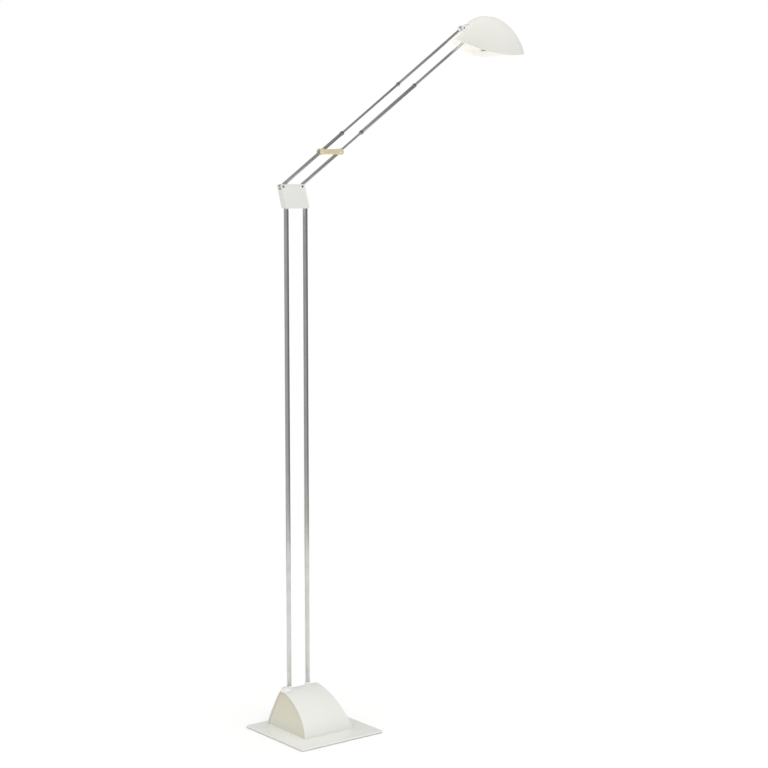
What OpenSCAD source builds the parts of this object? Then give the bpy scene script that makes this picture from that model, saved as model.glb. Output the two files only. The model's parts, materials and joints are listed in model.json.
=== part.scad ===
// Adjustable arm floor lamp: a low voltage halogen reading lamp.
// Millimetres, +Z up. The origin is the centre of the base pad's underside.
// X runs along the two column rods, towards the side that the arm reaches over.
// The arm, the column and the bracket pivots all lie in the plane y = ridge_y + rod_behind_ridge.

/* [Base plate] */
// Side of the square base plate
plate_side = 230; // [200:1:280]
// Thickness of the base plate
plate_t = 4; // [3:0.5:8]
// Corner radius of the base plate
plate_corner_r = 3; // [1:0.5:10]
// Thickness of the soft pad under the plate
pad_t = 1.2; // [0.8:0.1:3]
// How far the pad stays inside the plate's edge
pad_inset = 4; // [2:0.5:12]

/* [Base cover] */
// Length of the cover along X at its foot
cover_w = 136; // [124:1:160]
// Height of the cover's ridge above the plate
cover_h = 87; // [80:1:105]
// Distance from the ridge forward to the front foot
cover_front = 120; // [112:1:145]
// Distance from the ridge back to the rear foot
cover_back = 34; // [30:1:50]
// Place of the ridge on the plate
ridge_y = 62; // [55:1:62]
// How far each end leans in by the height of the ridge
cover_lean = 16; // [8:1:20]
// Thickness of the cover's sheet
sheet_t = 2; // [1.2:0.1:3]
// How far the end panels sit back behind the cover's lip
panel_recess = 3.5; // [2:0.5:5]
// Thickness of the end panels
panel_t = 1.4; // [1:0.1:2]

/* [Column] */
// Diameter of the two column rods
rod_d = 11; // [9:0.5:11.5]
// Wall of the column rods
rod_wall = 1.5; // [1:0.1:2.5]
// Distance between the axes of the two rods, and of each pair of pivots
rod_gap = 53; // [48:1:54]
// Height of the bracket's underside above the floor
bracket_z = 1217; // [900:1:1400]

/* [Bracket] */
// Width of the bracket along X
bracket_w = 66.5; // [66:0.5:80]
// Height of the bracket
bracket_h = 55; // [50:1:70]
// Depth of the bracket, both halves together
bracket_d = 18; // [17:0.5:26]
// How far the bracket leans back over its height
bracket_lean = 13.5; // [8:0.5:18]
// Depth of the pivots below the bracket's top
pivot_drop = 5; // [5:0.5:8]
// How deep the rods go into the bracket
rod_in_bracket = 14; // [10:0.5:20]

/* [Arm] */
// Distance between the pivots at the bracket and at the head
arm_len = 656; // [560:1:760]
// Rise of the arm above level as it is drawn
arm_angle = 35.2; // [20:0.1:60]
// Outer diameter of the tubes nearest the bracket
arm_tube_d = 8; // [7.6:0.1:9]
// Wall of the tubes nearest the bracket
arm_tube_wall = 1.2; // [0.8:0.1:1.2]
// Diameter of the solid inner rods
inner_rod_d = 5.5; // [5:0.1:5.5]
// Outer diameter of the sliding tubes at the head
slide_tube_d = 6.5; // [6.4:0.1:7]
// Outer diameter of the sleeve on the lower strand
sleeve_d = 8.5; // [8.2:0.1:9.5]
// Diameter of the collars at the steps of the strands
collar_d = 9.8; // [9.6:0.1:11]
// Length of the collars
collar_len = 6; // [5:0.5:12]
// Place along the strands of the brass link
link_at = 137; // [110:0.5:150]
// Place along the strands where the sleeve starts and the thick tube ends
step_low = 213; // [190:1:230]
// Place along the strands where the sliding tubes come out
step_high = 412; // [400:1:440]
// How far the head can be pushed in from its drawn place
slide_in = 155; // [100:1:158]
// How far the head can be pulled out from its drawn place
slide_out = 15; // [5:1:18]

/* [Head] */
// Length of the shade along X
shade_len = 222; // [205:1:250]
// Widest half width of the shade
shade_half_w = 50; // [48:1:60]
// Half width of the shade at its back end
shade_back_half_w = 14; // [12:0.5:20]
// Height of the shade's highest point above the head pivots
shade_rise = 32; // [31:1:45]
// Depth of the shade's lowest rim below the head pivots
shade_drop = 63; // [61:1:75]
// Wall of the shade
shade_wall = 1.6; // [1.2:0.1:2.5]
// Radius of the reflector
reflector_r = 37; // [30:0.5:38]
// Diameter of the bulb's glass
bulb_d = 11; // [9:0.5:13]

/* [Fits] */
// Radial running clearance of pins, rods and sliding tubes
run_fit = 0.06; // [0.03:0.01:0.1]
// Gap around pieces that are fixed in each other
seat_gap = 0.05; // [0.02:0.01:0.1]
// Gap between pieces that move past each other
free_gap = 0.4; // [0.3:0.05:0.6]

/* [Hidden] */

$fn = 48;
eps = 0.01;
big = 400;

plate_top = pad_t + plate_t;
ridge_z = plate_top + cover_h;
front_power = 1.6;
back_power = 1.15;
rod_behind_ridge = 1;
arm_y = ridge_y + rod_behind_ridge;
rod_x = rod_gap / 2;

screw_d = 4;
screw_head_d = 8;
screw_head_h = 2.2;
screw_reach = 9;
tab_w = 16;
tab_d = 14;
tab_t = 5;

bracket_top = bracket_z + bracket_h;
pivot_z = bracket_top - pivot_drop;
pivot_x = -bracket_lean - rod_x;
pin_d = 5;
eye_d = 10;
eye_w = 9;
washer_t = 0.9;
pocket_w = eye_w + 2 * washer_t + 4 * seat_gap;
rod_lift = 6;

head_x = pivot_x + arm_len * cos(arm_angle);
head_z = pivot_z + arm_len * sin(arm_angle);
head_pin_d = 4;
cheek_t = 3;
cheek_r = 6.5;
cheek_y = pocket_w / 2 + cheek_t;
slot_half_w = cheek_y + 0.6;

link_pin_d = 3;
link_cheek_t = 3.2;
link_boss_half = collar_d / 2;
link_inner_y = link_boss_half + 0.15;

shade_back = -30;
shade_tip = shade_back + shade_len;
ridge_peak = shade_back + shade_len * 0.446;
wide_at = shade_back + shade_len * 0.559;
low_at = shade_back + shade_len * 0.649;
back_rim_z = -29;
tip_z = -55;
tip_half_w = 1.5;

// ---------------------------------------------------------------- helpers

function unit(v) = v / norm(v);

// Points of an arc of radius r that rounds corner p between its neighbours a and b.
function corner_arc(a, p, b, r, n = 6) =
    let (u = unit(a - p), v = unit(b - p), half = acos(u * v) / 2,
         c = p + unit(u + v) * r / sin(half),
         first = p + u * r / tan(half) - c,
         last = p + v * r / tan(half) - c)
    r == 0 ? [p] : [for (i = [0:n]) c + unit(first * (n - i) / n + last * i / n) * r];

// An outline with each corner rounded by its own radius.
function rounded(pts, radii) =
    let (n = len(pts))
    [for (i = [0:n - 1]) each corner_arc(pts[(i + n - 1) % n], pts[i], pts[(i + 1) % n], radii[i])];

function box_points(w, d) = [[-w / 2, -d / 2], [w / 2, -d / 2], [w / 2, d / 2], [-w / 2, d / 2]];

module slab(w, d, h, r) {
    linear_extrude(height = h) polygon(rounded(box_points(w, d), [r, r, r, r]));
}

// A ring or tube standing on z = 0.
module tube(outer_d, bore_d, h) {
    difference() {
        cylinder(d = outer_d, h = h);
        translate([0, 0, -1]) cylinder(d = bore_d, h = h + 2);
    }
}

// A countersunk screw that points up, with its head's face at z = 0.
module flat_screw(reach, d = screw_d, head_d = screw_head_d, head_h = screw_head_h) {
    difference() {
        union() {
            cylinder(d1 = head_d, d2 = d, h = head_h);
            cylinder(d = d, h = reach);
        }
        translate([0, 0, head_h / 2 - 1]) cube([head_d * 0.7, 1, 2], center = true);
    }
}

// The hole that a flat_screw needs.
module flat_screw_hole(reach, d = screw_d, head_d = screw_head_d, head_h = screw_head_h) {
    translate([0, 0, -1]) cylinder(d = head_d + 2 * seat_gap, h = 1 + eps);
    cylinder(d1 = head_d + 2 * seat_gap, d2 = d + 2 * seat_gap, h = head_h);
    cylinder(d = d + 2 * seat_gap, h = reach + 1);
}

// A cheese head screw that points up, with its head below z = 0.
module head_screw(reach, d, head_d, head_h) {
    difference() {
        union() {
            translate([0, 0, -head_h]) cylinder(d = head_d, h = head_h);
            translate([0, 0, -eps]) cylinder(d = d, h = reach);
        }
        translate([0, 0, -head_h]) cube([head_d * 0.8, 0.9, head_h], center = true);
    }
}

// Places children with +Z along a strand, at the distance s from a pivot.
module on_strand(start_x, s) {
    translate([start_x, arm_y, pivot_z])
        rotate([0, 90 - arm_angle, 0])
            translate([0, 0, s]) children();
}

// Places children at a pivot with +Z along +Y, centred on the arm's plane.
module across(x, z) {
    translate([x, arm_y, z]) rotate([-90, 0, 0]) children();
}

module at_head() {
    translate([head_x, arm_y, head_z]) children();
}

module each_rod() {
    for (side = [-1, 1]) translate([side * rod_x, arm_y, 0]) children();
}

// ---------------------------------------------------------------- base

module base_pad() {
    color("dimgray")
        slab(plate_side - 2 * pad_inset, plate_side - 2 * pad_inset, pad_t, plate_corner_r);
}

// Where the screws come up through the plate: four for the cover's tabs, two for the
// transformer, two for the rod socket and two for the ballast.
tab_x = cover_w / 2 - 30;
tab_front_y = ridge_y - cover_front + sheet_t + tab_d / 2 + 1;
tab_back_y = ridge_y + cover_back - sheet_t - tab_d / 2 - 1;
frame_foot_x = 42;
transformer_y = 14;
socket_w = rod_gap + 36;
socket_d = 24;
socket_h = 26;
socket_screw_x = 10;
core_w = 62;
core_d = 30;
core_h = 52;
coil_d = core_d + 20;
ballast_front_y = tab_front_y + tab_d / 2 + 1;
ballast_back_y = transformer_y - coil_d / 2 - 1;
ballast_y = (ballast_front_y + ballast_back_y) / 2;
ballast_w = 108;
ballast_h = 18;
ballast_screw_x = 40;
screw_places = concat(
    [for (side = [-1, 1]) each [[side * tab_x, tab_front_y], [side * tab_x, tab_back_y]]],
    [for (side = [-1, 1]) [side * frame_foot_x, transformer_y]],
    [for (side = [-1, 1]) [side * socket_screw_x, arm_y]],
    [for (side = [-1, 1]) [side * ballast_screw_x, ballast_y]]);

module base_plate() {
    color("ivory") difference() {
        translate([0, 0, pad_t]) slab(plate_side, plate_side, plate_t, plate_corner_r);
        for (p = screw_places) translate([p[0], p[1], pad_t]) flat_screw_hole(screw_reach);
    }
}

module base_screws() {
    color("silver") for (p = screw_places) translate([p[0], p[1], pad_t]) flat_screw(screw_reach);
}

module screw_bores(places, h) {
    for (p = places) translate([p[0], p[1], plate_top - 1]) cylinder(d = screw_d + 2 * seat_gap, h = h);
}

module ballast_block() {
    color("dimgray") difference() {
        translate([0, ballast_y, plate_top]) slab(ballast_w, ballast_back_y - ballast_front_y, ballast_h, 3);
        screw_bores([for (side = [-1, 1]) [side * ballast_screw_x, ballast_y]], 12);
    }
}

// ---------------------------------------------------------------- cover

// Half outline of the hump: a superellipse quarter from its foot up to the ridge.
function hump_quarter(reach, height, power, n = 20) =
    [for (i = [0:n]) let (a = 90 * i / n)
        [reach * pow(cos(a), 2 / power), height * pow(sin(a), 2 / power)]];

// The closed outline of the hump in Y and Z, inset from the cover's outer face.
function hump(inset) =
    let (front = hump_quarter(cover_front - inset, cover_h - inset, front_power),
         back = hump_quarter(cover_back - inset, cover_h - inset, back_power),
         n = len(back))
    concat([for (p = front) [ridge_y - p[0], plate_top + p[1]]],
           [for (i = [2:n]) [ridge_y + back[n - i][0], plate_top + back[n - i][1]]]);

// The hump as a bar along X.
module hump_bar(inset) {
    translate([-big / 2, 0, 0]) rotate([90, 0, 90]) linear_extrude(height = big) polygon(hump(inset));
}

// A bar along Y whose ends lean like the cover's, with its foot half a width wide.
module lean_block(half_foot) {
    translate([0, big / 2, 0]) rotate([90, 0, 0]) linear_extrude(height = big)
        polygon([[-half_foot, plate_top], [half_foot, plate_top],
                 [half_foot - cover_lean, ridge_z], [half_foot - cover_lean - 1, ridge_z + 5],
                 [-half_foot + cover_lean + 1, ridge_z + 5], [-half_foot + cover_lean, ridge_z]]);
}

ferrule_d = rod_d + 3;
ferrule_top = ridge_z + 6;
ferrule_h = 40;
knob_x = -cover_w / 2 + 24.5;
knob_y = ridge_y - 10;
knob_d = 12.5;
knob_h = 4.2;
knob_z = ridge_z + 0.3;
pot_side = 6.8;
pot_body_h = 6.5;
pot_bush_d = 6;
pot_top = ridge_z - sheet_t - 2;
shaft_d = 4;
gland_y = ridge_y + 10;
gland_z = plate_top + 14;
gland_d = 11;
gland_bore = 7;

module cover_tab(y_foot) {
    for (side = [-1, 1]) translate([side * tab_x - tab_w / 2, y_foot, plate_top]) cube([tab_w, tab_d + 2, tab_t]);
}

module cover() {
    color("ivory") difference() {
        union() {
            intersection() {
                difference() {
                    hump_bar(0);
                    translate([0, 0, -eps]) hump_bar(sheet_t);
                }
                lean_block(cover_w / 2);
            }
            intersection() {
                hump_bar(sheet_t / 2);
                union() {
                    cover_tab(tab_front_y - tab_d / 2 - 2);
                    cover_tab(tab_back_y - tab_d / 2);
                }
            }
        }
        each_rod() translate([0, 0, ridge_z - 60]) cylinder(d = ferrule_d + 2 * seat_gap, h = 90);
        translate([knob_x, knob_y, pot_top]) cylinder(d = pot_bush_d + 2 * seat_gap, h = 20);
        screw_bores([for (side = [-1, 1]) each [[side * tab_x, tab_front_y], [side * tab_x, tab_back_y]]], 12);
    }
}

// One end panel, in the leaning plane behind the lip. side is -1 for left, 1 for right.
module cover_end(side) {
    intersection() {
        hump_bar(sheet_t + seat_gap);
        difference() {
            lean_block(cover_w / 2 - panel_recess);
            lean_block(cover_w / 2 - panel_recess - panel_t);
        }
        translate([side > 0 ? 0 : -big, -big / 2, 0]) cube([big, big, ridge_z]);
    }
}

// Places children on the right end panel's outer face, with +Z along its outward normal.
module on_right_panel(y, z) {
    lean = atan(cover_lean / cover_h);
    translate([cover_w / 2 - panel_recess - (z - plate_top) * tan(lean), y, z])
        rotate([0, 90 - lean, 0]) children();
}

module cover_end_left() {
    color("wheat") cover_end(-1);
}

module cover_end_right() {
    color("wheat") difference() {
        cover_end(1);
        on_right_panel(gland_y, gland_z) translate([0, 0, -10]) cylinder(d = gland_d + 2 * seat_gap, h = 20);
    }
}

module cord_gland() {
    color("white") on_right_panel(gland_y, gland_z) difference() {
        union() {
            translate([0, 0, -8]) cylinder(d = gland_d, h = 8 + 2);
            cylinder(d = gland_d + 4, h = 2.2);
            translate([0, 0, -panel_t - 4]) cylinder(d = gland_d + 4, h = 4 - seat_gap, $fn = 6);
        }
        translate([0, 0, -10]) cylinder(d = gland_bore, h = 20);
    }
}

// ---------------------------------------------------------------- inside the base

window_w = 10.5;
window_h = 31;
leg_w = 21;
frame_t = 1.5;
frame_d = 22;
core_z = plate_top + 0.5 + core_h / 2;

module transformer_core() {
    color("dimgray") translate([0, transformer_y, core_z]) difference() {
        cube([core_w, core_d, core_h], center = true);
        for (side = [-1, 1]) translate([side * (leg_w + window_w) / 2, 0, 0])
            cube([window_w, core_d + 2, window_h], center = true);
    }
}

module transformer_coil() {
    coil_w = leg_w + 2 * window_w - 0.8;
    color("goldenrod") translate([0, transformer_y, core_z]) difference() {
        cube([coil_w, coil_d, window_h - 0.8], center = true);
        cube([leg_w + 0.6, core_d + 0.6, window_h + 2], center = true);
    }
}

module transformer_frame() {
    half = core_w / 2 + seat_gap;
    top = core_z + core_h / 2 + seat_gap;
    color("silver") difference() {
        translate([0, transformer_y, 0]) union() {
            for (side = [-1, 1]) translate([side > 0 ? half : -half - frame_t, -frame_d / 2, plate_top])
                cube([frame_t, frame_d, top + frame_t - plate_top]);
            translate([-half - frame_t, -frame_d / 2, top]) cube([2 * (half + frame_t), frame_d, frame_t]);
            for (side = [-1, 1]) translate([side > 0 ? half : -half - 18, -frame_d / 2, plate_top])
                cube([18, frame_d, frame_t]);
        }
        screw_bores([for (side = [-1, 1]) [side * frame_foot_x, transformer_y]], 12);
    }
}

module terminal_block() {
    block_w = 12;
    block_l = 34;
    color("white") translate([frame_foot_x + 4, transformer_y + 14, plate_top]) difference() {
        cube([block_w, block_l, 11]);
        for (i = [0:2]) translate([-1, 6 + i * 11, 5]) rotate([0, 90, 0]) cylinder(d = 4, h = block_w + 2);
        for (i = [0:2]) translate([block_w / 2, 6 + i * 11, 6]) cylinder(d = 3.6, h = 6);
    }
}

board_y = knob_y + pot_side / 2 + 0.4;
board_x0 = knob_x - 3.5;
board_w = 12;
board_z0 = plate_top + 32;

module dimmer_board() {
    color("peru") translate([board_x0, board_y, board_z0]) cube([board_w, 1.6, pot_top - board_z0 - 1]);
}

module dimmer_parts() {
    color("black") translate([board_x0, board_y, board_z0]) {
        translate([board_w / 2, 0, 9]) rotate([90, 0, 0]) cylinder(d = 11, h = 10);
        translate([1.5, -5, 19]) cube([9, 5, 10]);
        translate([board_w / 2, 0, 34]) rotate([90, 0, 0]) cylinder(d = 7, h = 6);
    }
}

module dimmer_pot() {
    color("silver") translate([knob_x, knob_y, pot_top]) difference() {
        union() {
            translate([-pot_side / 2, -pot_side / 2, -pot_body_h]) cube([pot_side, pot_side, pot_body_h]);
            cylinder(d = pot_bush_d, h = knob_z - pot_top - free_gap - 0.4);
        }
        translate([0, 0, -pot_body_h + 1]) cylinder(d = shaft_d + 2 * run_fit, h = 30);
    }
}

module dimmer_knob() {
    grips = 18;
    color("white") difference() {
        translate([knob_x, knob_y, knob_z]) union() {
            cylinder(d = knob_d, h = knob_h - 1.2);
            translate([0, 0, knob_h - 1.2]) cylinder(d1 = knob_d, d2 = knob_d - 3, h = 1.2);
            translate([0, 0, pot_top - knob_z - pot_body_h + 1.5])
                cylinder(d = shaft_d, h = knob_z - pot_top + pot_body_h - 1);
        }
        for (i = [0:grips - 1]) translate([knob_x, knob_y, knob_z - 1]) rotate([0, 0, i * 360 / grips])
            translate([knob_d / 2 + 0.35, 0, 0]) cylinder(d = 1.4, h = knob_h + 2, $fn = 16);
        translate([knob_x + knob_d / 4, knob_y, knob_z + knob_h]) cube([knob_d / 2 - 2, 0.8, 0.8], center = true);
    }
}

module rod_socket() {
    color("tan") difference() {
        translate([0, arm_y, plate_top]) slab(socket_w, socket_d, socket_h, 3);
        each_rod() translate([0, 0, plate_top + rod_lift]) cylinder(d = rod_d + 2 * seat_gap, h = socket_h);
        each_rod() translate([0, 0, plate_top + socket_h / 2 + 3]) rotate([90, 0, 0])
            cylinder(d = 4 + 2 * seat_gap, h = socket_d);
        screw_bores([for (side = [-1, 1]) [side * socket_screw_x, arm_y]], 12);
        translate([-socket_w, arm_y + 9, plate_top + 6]) cube([socket_w * 2, 10, socket_h]);
    }
}

module rod_clamp_screws() {
    color("silver") each_rod() translate([0, -rod_d / 2 - 2 * seat_gap, plate_top + socket_h / 2 + 3])
        rotate([90, 0, 0]) difference() {
            cylinder(d = 4, h = 8);
            translate([0, 0, 6.5]) cylinder(d = 2.2, h = 2, $fn = 6);
        }
}

module rod_ferrules() {
    color("white") each_rod() translate([0, 0, ferrule_top - ferrule_h]) difference() {
        union() {
            cylinder(d = ferrule_d, h = ferrule_h - 1);
            translate([0, 0, ferrule_h - 1]) cylinder(d1 = ferrule_d, d2 = ferrule_d - 1.4, h = 1);
        }
        translate([0, 0, -1]) cylinder(d = rod_d + 2 * seat_gap, h = ferrule_h + 2);
    }
}

// ---------------------------------------------------------------- column

rod_foot = plate_top + rod_lift;
rod_top = bracket_z + rod_in_bracket;

// A tube with a plug in its top. The top is cut to stay inside the bracket's leaning side.
module column_rod(side) {
    plug_h = 10;
    difference() {
        translate([side * rod_x, arm_y, rod_foot]) difference() {
            cylinder(d = rod_d, h = rod_top - rod_foot);
            translate([0, 0, -1]) cylinder(d = rod_d - 2 * rod_wall, h = rod_top - rod_foot - plug_h + 1);
        }
        upright([[bracket_right(0) - rod_skin, 0], [bracket_right(0) + big, 0],
                 [bracket_right(0) + big, bracket_h], [bracket_right(bracket_h) - rod_skin, bracket_h]], 2 * rod_d);
    }
}

module column_rod_left() {
    color("gainsboro") column_rod(-1);
}

module column_rod_right() {
    color("gainsboro") column_rod(1);
}

// ---------------------------------------------------------------- bracket

bracket_nose_r = 7;
bracket_edge_r = 2;
side_wall = 2.6;
side_wall_top = bracket_h - 12;
rod_skin = 1.2;
screw_pillar_d = 8;
screw_recess_d = 6.2;
screw_recess_h = 1.6;
bracket_screw_d = 3;
bracket_screw_h = bracket_d - 4;

// X of the bracket's leaning sides at a height above its underside.
function bracket_left(h) = -bracket_w / 2 - bracket_lean * h / bracket_h;
function bracket_right(h) = bracket_w / 2 - bracket_lean * h / bracket_h;

// The bracket's outline between two heights, in from its sides.
function bracket_outline(low, high, inset) = [[bracket_left(low) + inset, low], [bracket_right(low) - inset, low],
    [bracket_right(high) - inset, high], [bracket_left(high) + inset, high]];

// An outline in X and Z, as a plate centred on the arm's plane.
module upright(outline, thickness) {
    translate([0, arm_y + thickness / 2, bracket_z]) rotate([90, 0, 0])
        linear_extrude(height = thickness) polygon(outline);
}

low_screw_x = rod_x - rod_d / 2 - 6;
bracket_screw_places = [[-low_screw_x, 8], [-bracket_lean / 2, bracket_h / 2], [low_screw_x, 8]];

module bracket_body() {
    rounds = [bracket_edge_r, bracket_edge_r, bracket_nose_r, bracket_edge_r];
    difference() {
        upright(rounded(bracket_outline(0, bracket_h, 0), rounds), bracket_d);
        difference() {
            upright(bracket_outline(rod_in_bracket, bracket_h + 5, side_wall), pocket_w);
            across(bracket_screw_places[1][0], bracket_z + bracket_screw_places[1][1])
                translate([0, 0, -pocket_w]) cylinder(d = screw_pillar_d, h = 2 * pocket_w);
        }
        upright(bracket_outline(side_wall_top, bracket_h + 5, -5), pocket_w);
        intersection() {
            each_rod() translate([0, 0, bracket_z - 1]) cylinder(d = rod_d + 2 * seat_gap, h = rod_in_bracket + 2);
            upright(bracket_outline(-2, rod_in_bracket + 2, rod_skin - 2 * seat_gap), 2 * bracket_d);
        }
        for (x = [pivot_x, pivot_x + rod_gap]) across(x, pivot_z)
            translate([0, 0, -bracket_d]) cylinder(d = pin_d + 2 * seat_gap, h = 2 * bracket_d);
        for (p = bracket_screw_places) across(p[0], bracket_z + p[1]) {
            translate([0, 0, -bracket_screw_h + bracket_d / 2 - 1])
                cylinder(d = bracket_screw_d + 2 * seat_gap, h = bracket_screw_h + 5);
            translate([0, 0, bracket_d / 2 - screw_recess_h]) cylinder(d = screw_recess_d, h = 5);
        }
    }
}

module bracket_front() {
    color("ivory") intersection() {
        bracket_body();
        translate([-big / 2, arm_y - big - seat_gap, 0]) cube([big, big, 2 * big + bracket_z]);
    }
}

module bracket_back() {
    color("ivory") intersection() {
        bracket_body();
        translate([-big / 2, arm_y, 0]) cube([big, big, 2 * big + bracket_z]);
    }
}

module bracket_screws() {
    color("silver") for (p = bracket_screw_places) across(p[0], bracket_z + p[1])
        translate([0, 0, bracket_d / 2 - screw_recess_h + seat_gap]) rotate([180, 0, 0])
            head_screw(bracket_screw_h - 4, bracket_screw_d, screw_recess_d - 4 * seat_gap, screw_recess_h - 0.1);
}

// Pivot pins: the front end is flush, the back end has a low head.
module bracket_pins() {
    color("slategray") for (x = [pivot_x, pivot_x + rod_gap]) across(x, pivot_z) {
        translate([0, 0, -bracket_d / 2 - 0.6]) cylinder(d = pin_d, h = bracket_d + 0.8);
        translate([0, 0, bracket_d / 2 + seat_gap]) cylinder(d1 = pin_d + 3, d2 = pin_d + 1, h = 1.6);
    }
}

module bracket_washers() {
    color("white") for (x = [pivot_x, pivot_x + rod_gap], side = [-1, 1]) across(x, pivot_z)
        translate([0, 0, side * (pocket_w / 2 - seat_gap - washer_t / 2) - washer_t / 2])
            tube(eye_d - 0.4, pin_d + 2 * seat_gap, washer_t);
}

// A bent brass strip from each rod's top to just under the pivot eye above it. It leans with the
// bracket's sides.
module contact_springs() {
    strip_t = 0.7;
    strip_w = 7;
    foot_len = 5;
    low = rod_in_bracket + 2 * seat_gap;
    high = bracket_h - pivot_drop - eye_d / 2 - free_gap;
    color("gold") for (side = [-1, 1]) {
        rise_x = side * rod_x - 1;
        top_x = rise_x - bracket_lean * (high - low) / bracket_h;
        leaf_x = side * rod_x - bracket_lean - 1;
        upright([[rise_x - foot_len, low], [rise_x + strip_t, low], [top_x + strip_t, high], [leaf_x, high],
                 [leaf_x, high - strip_t], [top_x, high - strip_t], [rise_x, low + strip_t],
                 [rise_x - foot_len, low + strip_t]], strip_w);
    }
}

// ---------------------------------------------------------------- arm strands

tube_bore = arm_tube_d - 2 * arm_tube_wall;
slide_bore = inner_rod_d + 2 * run_fit;
sleeve_bore = slide_tube_d + 2 * run_fit;
stub_reach = 24;
rod_start = stub_reach + 1;
rod_end = step_high + slide_out + 25;
hidden_in_sleeve = slide_out + 20;
head_stub = 22;

// The end fitting at a pivot: an eye with a stub that plugs into the tube.
module strand_eye(stub_d, bore) {
    difference() {
        union() {
            rotate([90, 0, 0]) translate([0, 0, -eye_w / 2]) cylinder(d = eye_d, h = eye_w);
            cylinder(d = arm_tube_d - 1, h = eye_d / 2 + 3);
            cylinder(d = stub_d, h = stub_reach);
        }
        rotate([90, 0, 0]) translate([0, 0, -eye_w]) cylinder(d = bore, h = 2 * eye_w);
    }
}

module cross_hole() {
    rotate([90, 0, 0]) translate([0, 0, -20]) cylinder(d = link_pin_d + 2 * run_fit, h = 40);
}

module thick_tube(length) {
    difference() {
        translate([0, 0, eye_d / 2 + 3 + seat_gap]) tube(arm_tube_d, tube_bore, length - eye_d / 2 - 3 - seat_gap);
        translate([0, 0, link_at]) cross_hole();
    }
}

module inner_rod() {
    difference() {
        translate([0, 0, rod_start]) cylinder(d = inner_rod_d, h = rod_end - rod_start);
        translate([0, 0, link_at]) cross_hole();
    }
}

module link_boss() {
    boss_len = 13;
    translate([0, 0, link_at]) difference() {
        translate([0, 0, -boss_len / 2]) tube(collar_d, arm_tube_d + 2 * seat_gap, boss_len);
        cross_hole();
    }
}

module upper_eye() {
    color("silver") on_strand(pivot_x, 0) strand_eye(tube_bore - 2 * seat_gap, pin_d + 2 * run_fit);
}

module upper_tube() {
    color("silver") on_strand(pivot_x, 0) thick_tube(step_low);
}

module upper_collar() {
    color("gray") on_strand(pivot_x, step_low - collar_len) tube(collar_d, arm_tube_d + 2 * seat_gap, collar_len + 1.5);
    color("gray") on_strand(pivot_x, step_low + seat_gap) tube(arm_tube_d + 0.2, inner_rod_d + 2 * seat_gap, 1.4);
}

module upper_rod() {
    color("silver") on_strand(pivot_x, 0) inner_rod();
}

module upper_link_boss() {
    color("gray") on_strand(pivot_x, 0) link_boss();
}

module lower_eye() {
    color("silver") on_strand(pivot_x + rod_gap, 0) strand_eye(tube_bore - 2 * seat_gap, pin_d + 2 * run_fit);
}

module lower_tube() {
    color("silver") on_strand(pivot_x + rod_gap, 0) thick_tube(link_at + 8);
}

module lower_link_boss() {
    color("gray") on_strand(pivot_x + rod_gap, 0) link_boss();
}

module lower_rod() {
    color("silver") on_strand(pivot_x + rod_gap, 0) inner_rod();
}

// The sleeve that the lower sliding tube is pushed into.
module lower_sleeve() {
    color("silver") on_strand(pivot_x + rod_gap, step_low) tube(sleeve_d, sleeve_bore + 0.2, step_high - step_low);
}

module sleeve_collars() {
    color("gray") on_strand(pivot_x + rod_gap, step_low - 1.5) {
        tube(collar_d, inner_rod_d + 2 * seat_gap, 1.5 - seat_gap);
        translate([0, 0, 1.4 - seat_gap]) tube(collar_d, sleeve_d + 2 * seat_gap, collar_len);
    }
    color("gray") on_strand(pivot_x + rod_gap, step_high - collar_len) {
        tube(collar_d, sleeve_d + 2 * seat_gap, collar_len + 0.1 + seat_gap);
        translate([0, 0, collar_len + seat_gap]) tube(collar_d, sleeve_bore, 1.5);
    }
}

// A sliding tube from its inner end to its stub in the head eye.
module slide_tube(start) {
    difference() {
        translate([0, 0, start]) cylinder(d = slide_tube_d, h = arm_len - eye_d / 2 - 2 - start);
        translate([0, 0, start - 1]) cylinder(d = slide_bore, h = arm_len - start);
    }
}

// The eye at the head end of a strand, with its stub in the sliding tube.
module head_eye() {
    translate([0, 0, arm_len]) difference() {
        union() {
            rotate([90, 0, 0]) translate([0, 0, -eye_w / 2]) cylinder(d = eye_d, h = eye_w);
            translate([0, 0, -eye_d / 2 - 2 + seat_gap]) cylinder(d = slide_tube_d, h = eye_d / 2);
            translate([0, 0, -head_stub]) cylinder(d = slide_bore - 2 * seat_gap, h = head_stub);
        }
        rotate([90, 0, 0]) translate([0, 0, -eye_w]) cylinder(d = head_pin_d + 2 * run_fit, h = 2 * eye_w);
    }
}

module ferrule() {
    translate([0, 0, arm_len - eye_d / 2 - 9]) tube(slide_tube_d + 2.6, slide_tube_d + 2 * seat_gap, 6);
}

module upper_slide_tube() {
    color("silver") on_strand(pivot_x, 0) slide_tube(step_high);
}

module upper_slide_collar() {
    color("gray") on_strand(pivot_x, step_high - 1.5) {
        tube(collar_d - 1, inner_rod_d + 2 * run_fit, 1.5 - seat_gap);
        translate([0, 0, 1.4 - seat_gap]) tube(collar_d - 1, slide_tube_d + 2 * seat_gap, collar_len);
    }
}

module upper_head_eye() {
    color("silver") on_strand(pivot_x, 0) head_eye();
}

module upper_ferrule() {
    color("white") on_strand(pivot_x, 0) ferrule();
}

module lower_slide_tube() {
    color("silver") on_strand(pivot_x + rod_gap, 0) slide_tube(step_high - hidden_in_sleeve);
}

module lower_head_eye() {
    color("silver") on_strand(pivot_x + rod_gap, 0) head_eye();
}

module lower_ferrule() {
    color("white") on_strand(pivot_x + rod_gap, 0) ferrule();
}

// ---------------------------------------------------------------- brass link

link_x = pivot_x + link_at * cos(arm_angle);
link_z = pivot_z + link_at * sin(arm_angle);
link_end_d = 14.5;
link_bar_h = 12;

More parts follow.
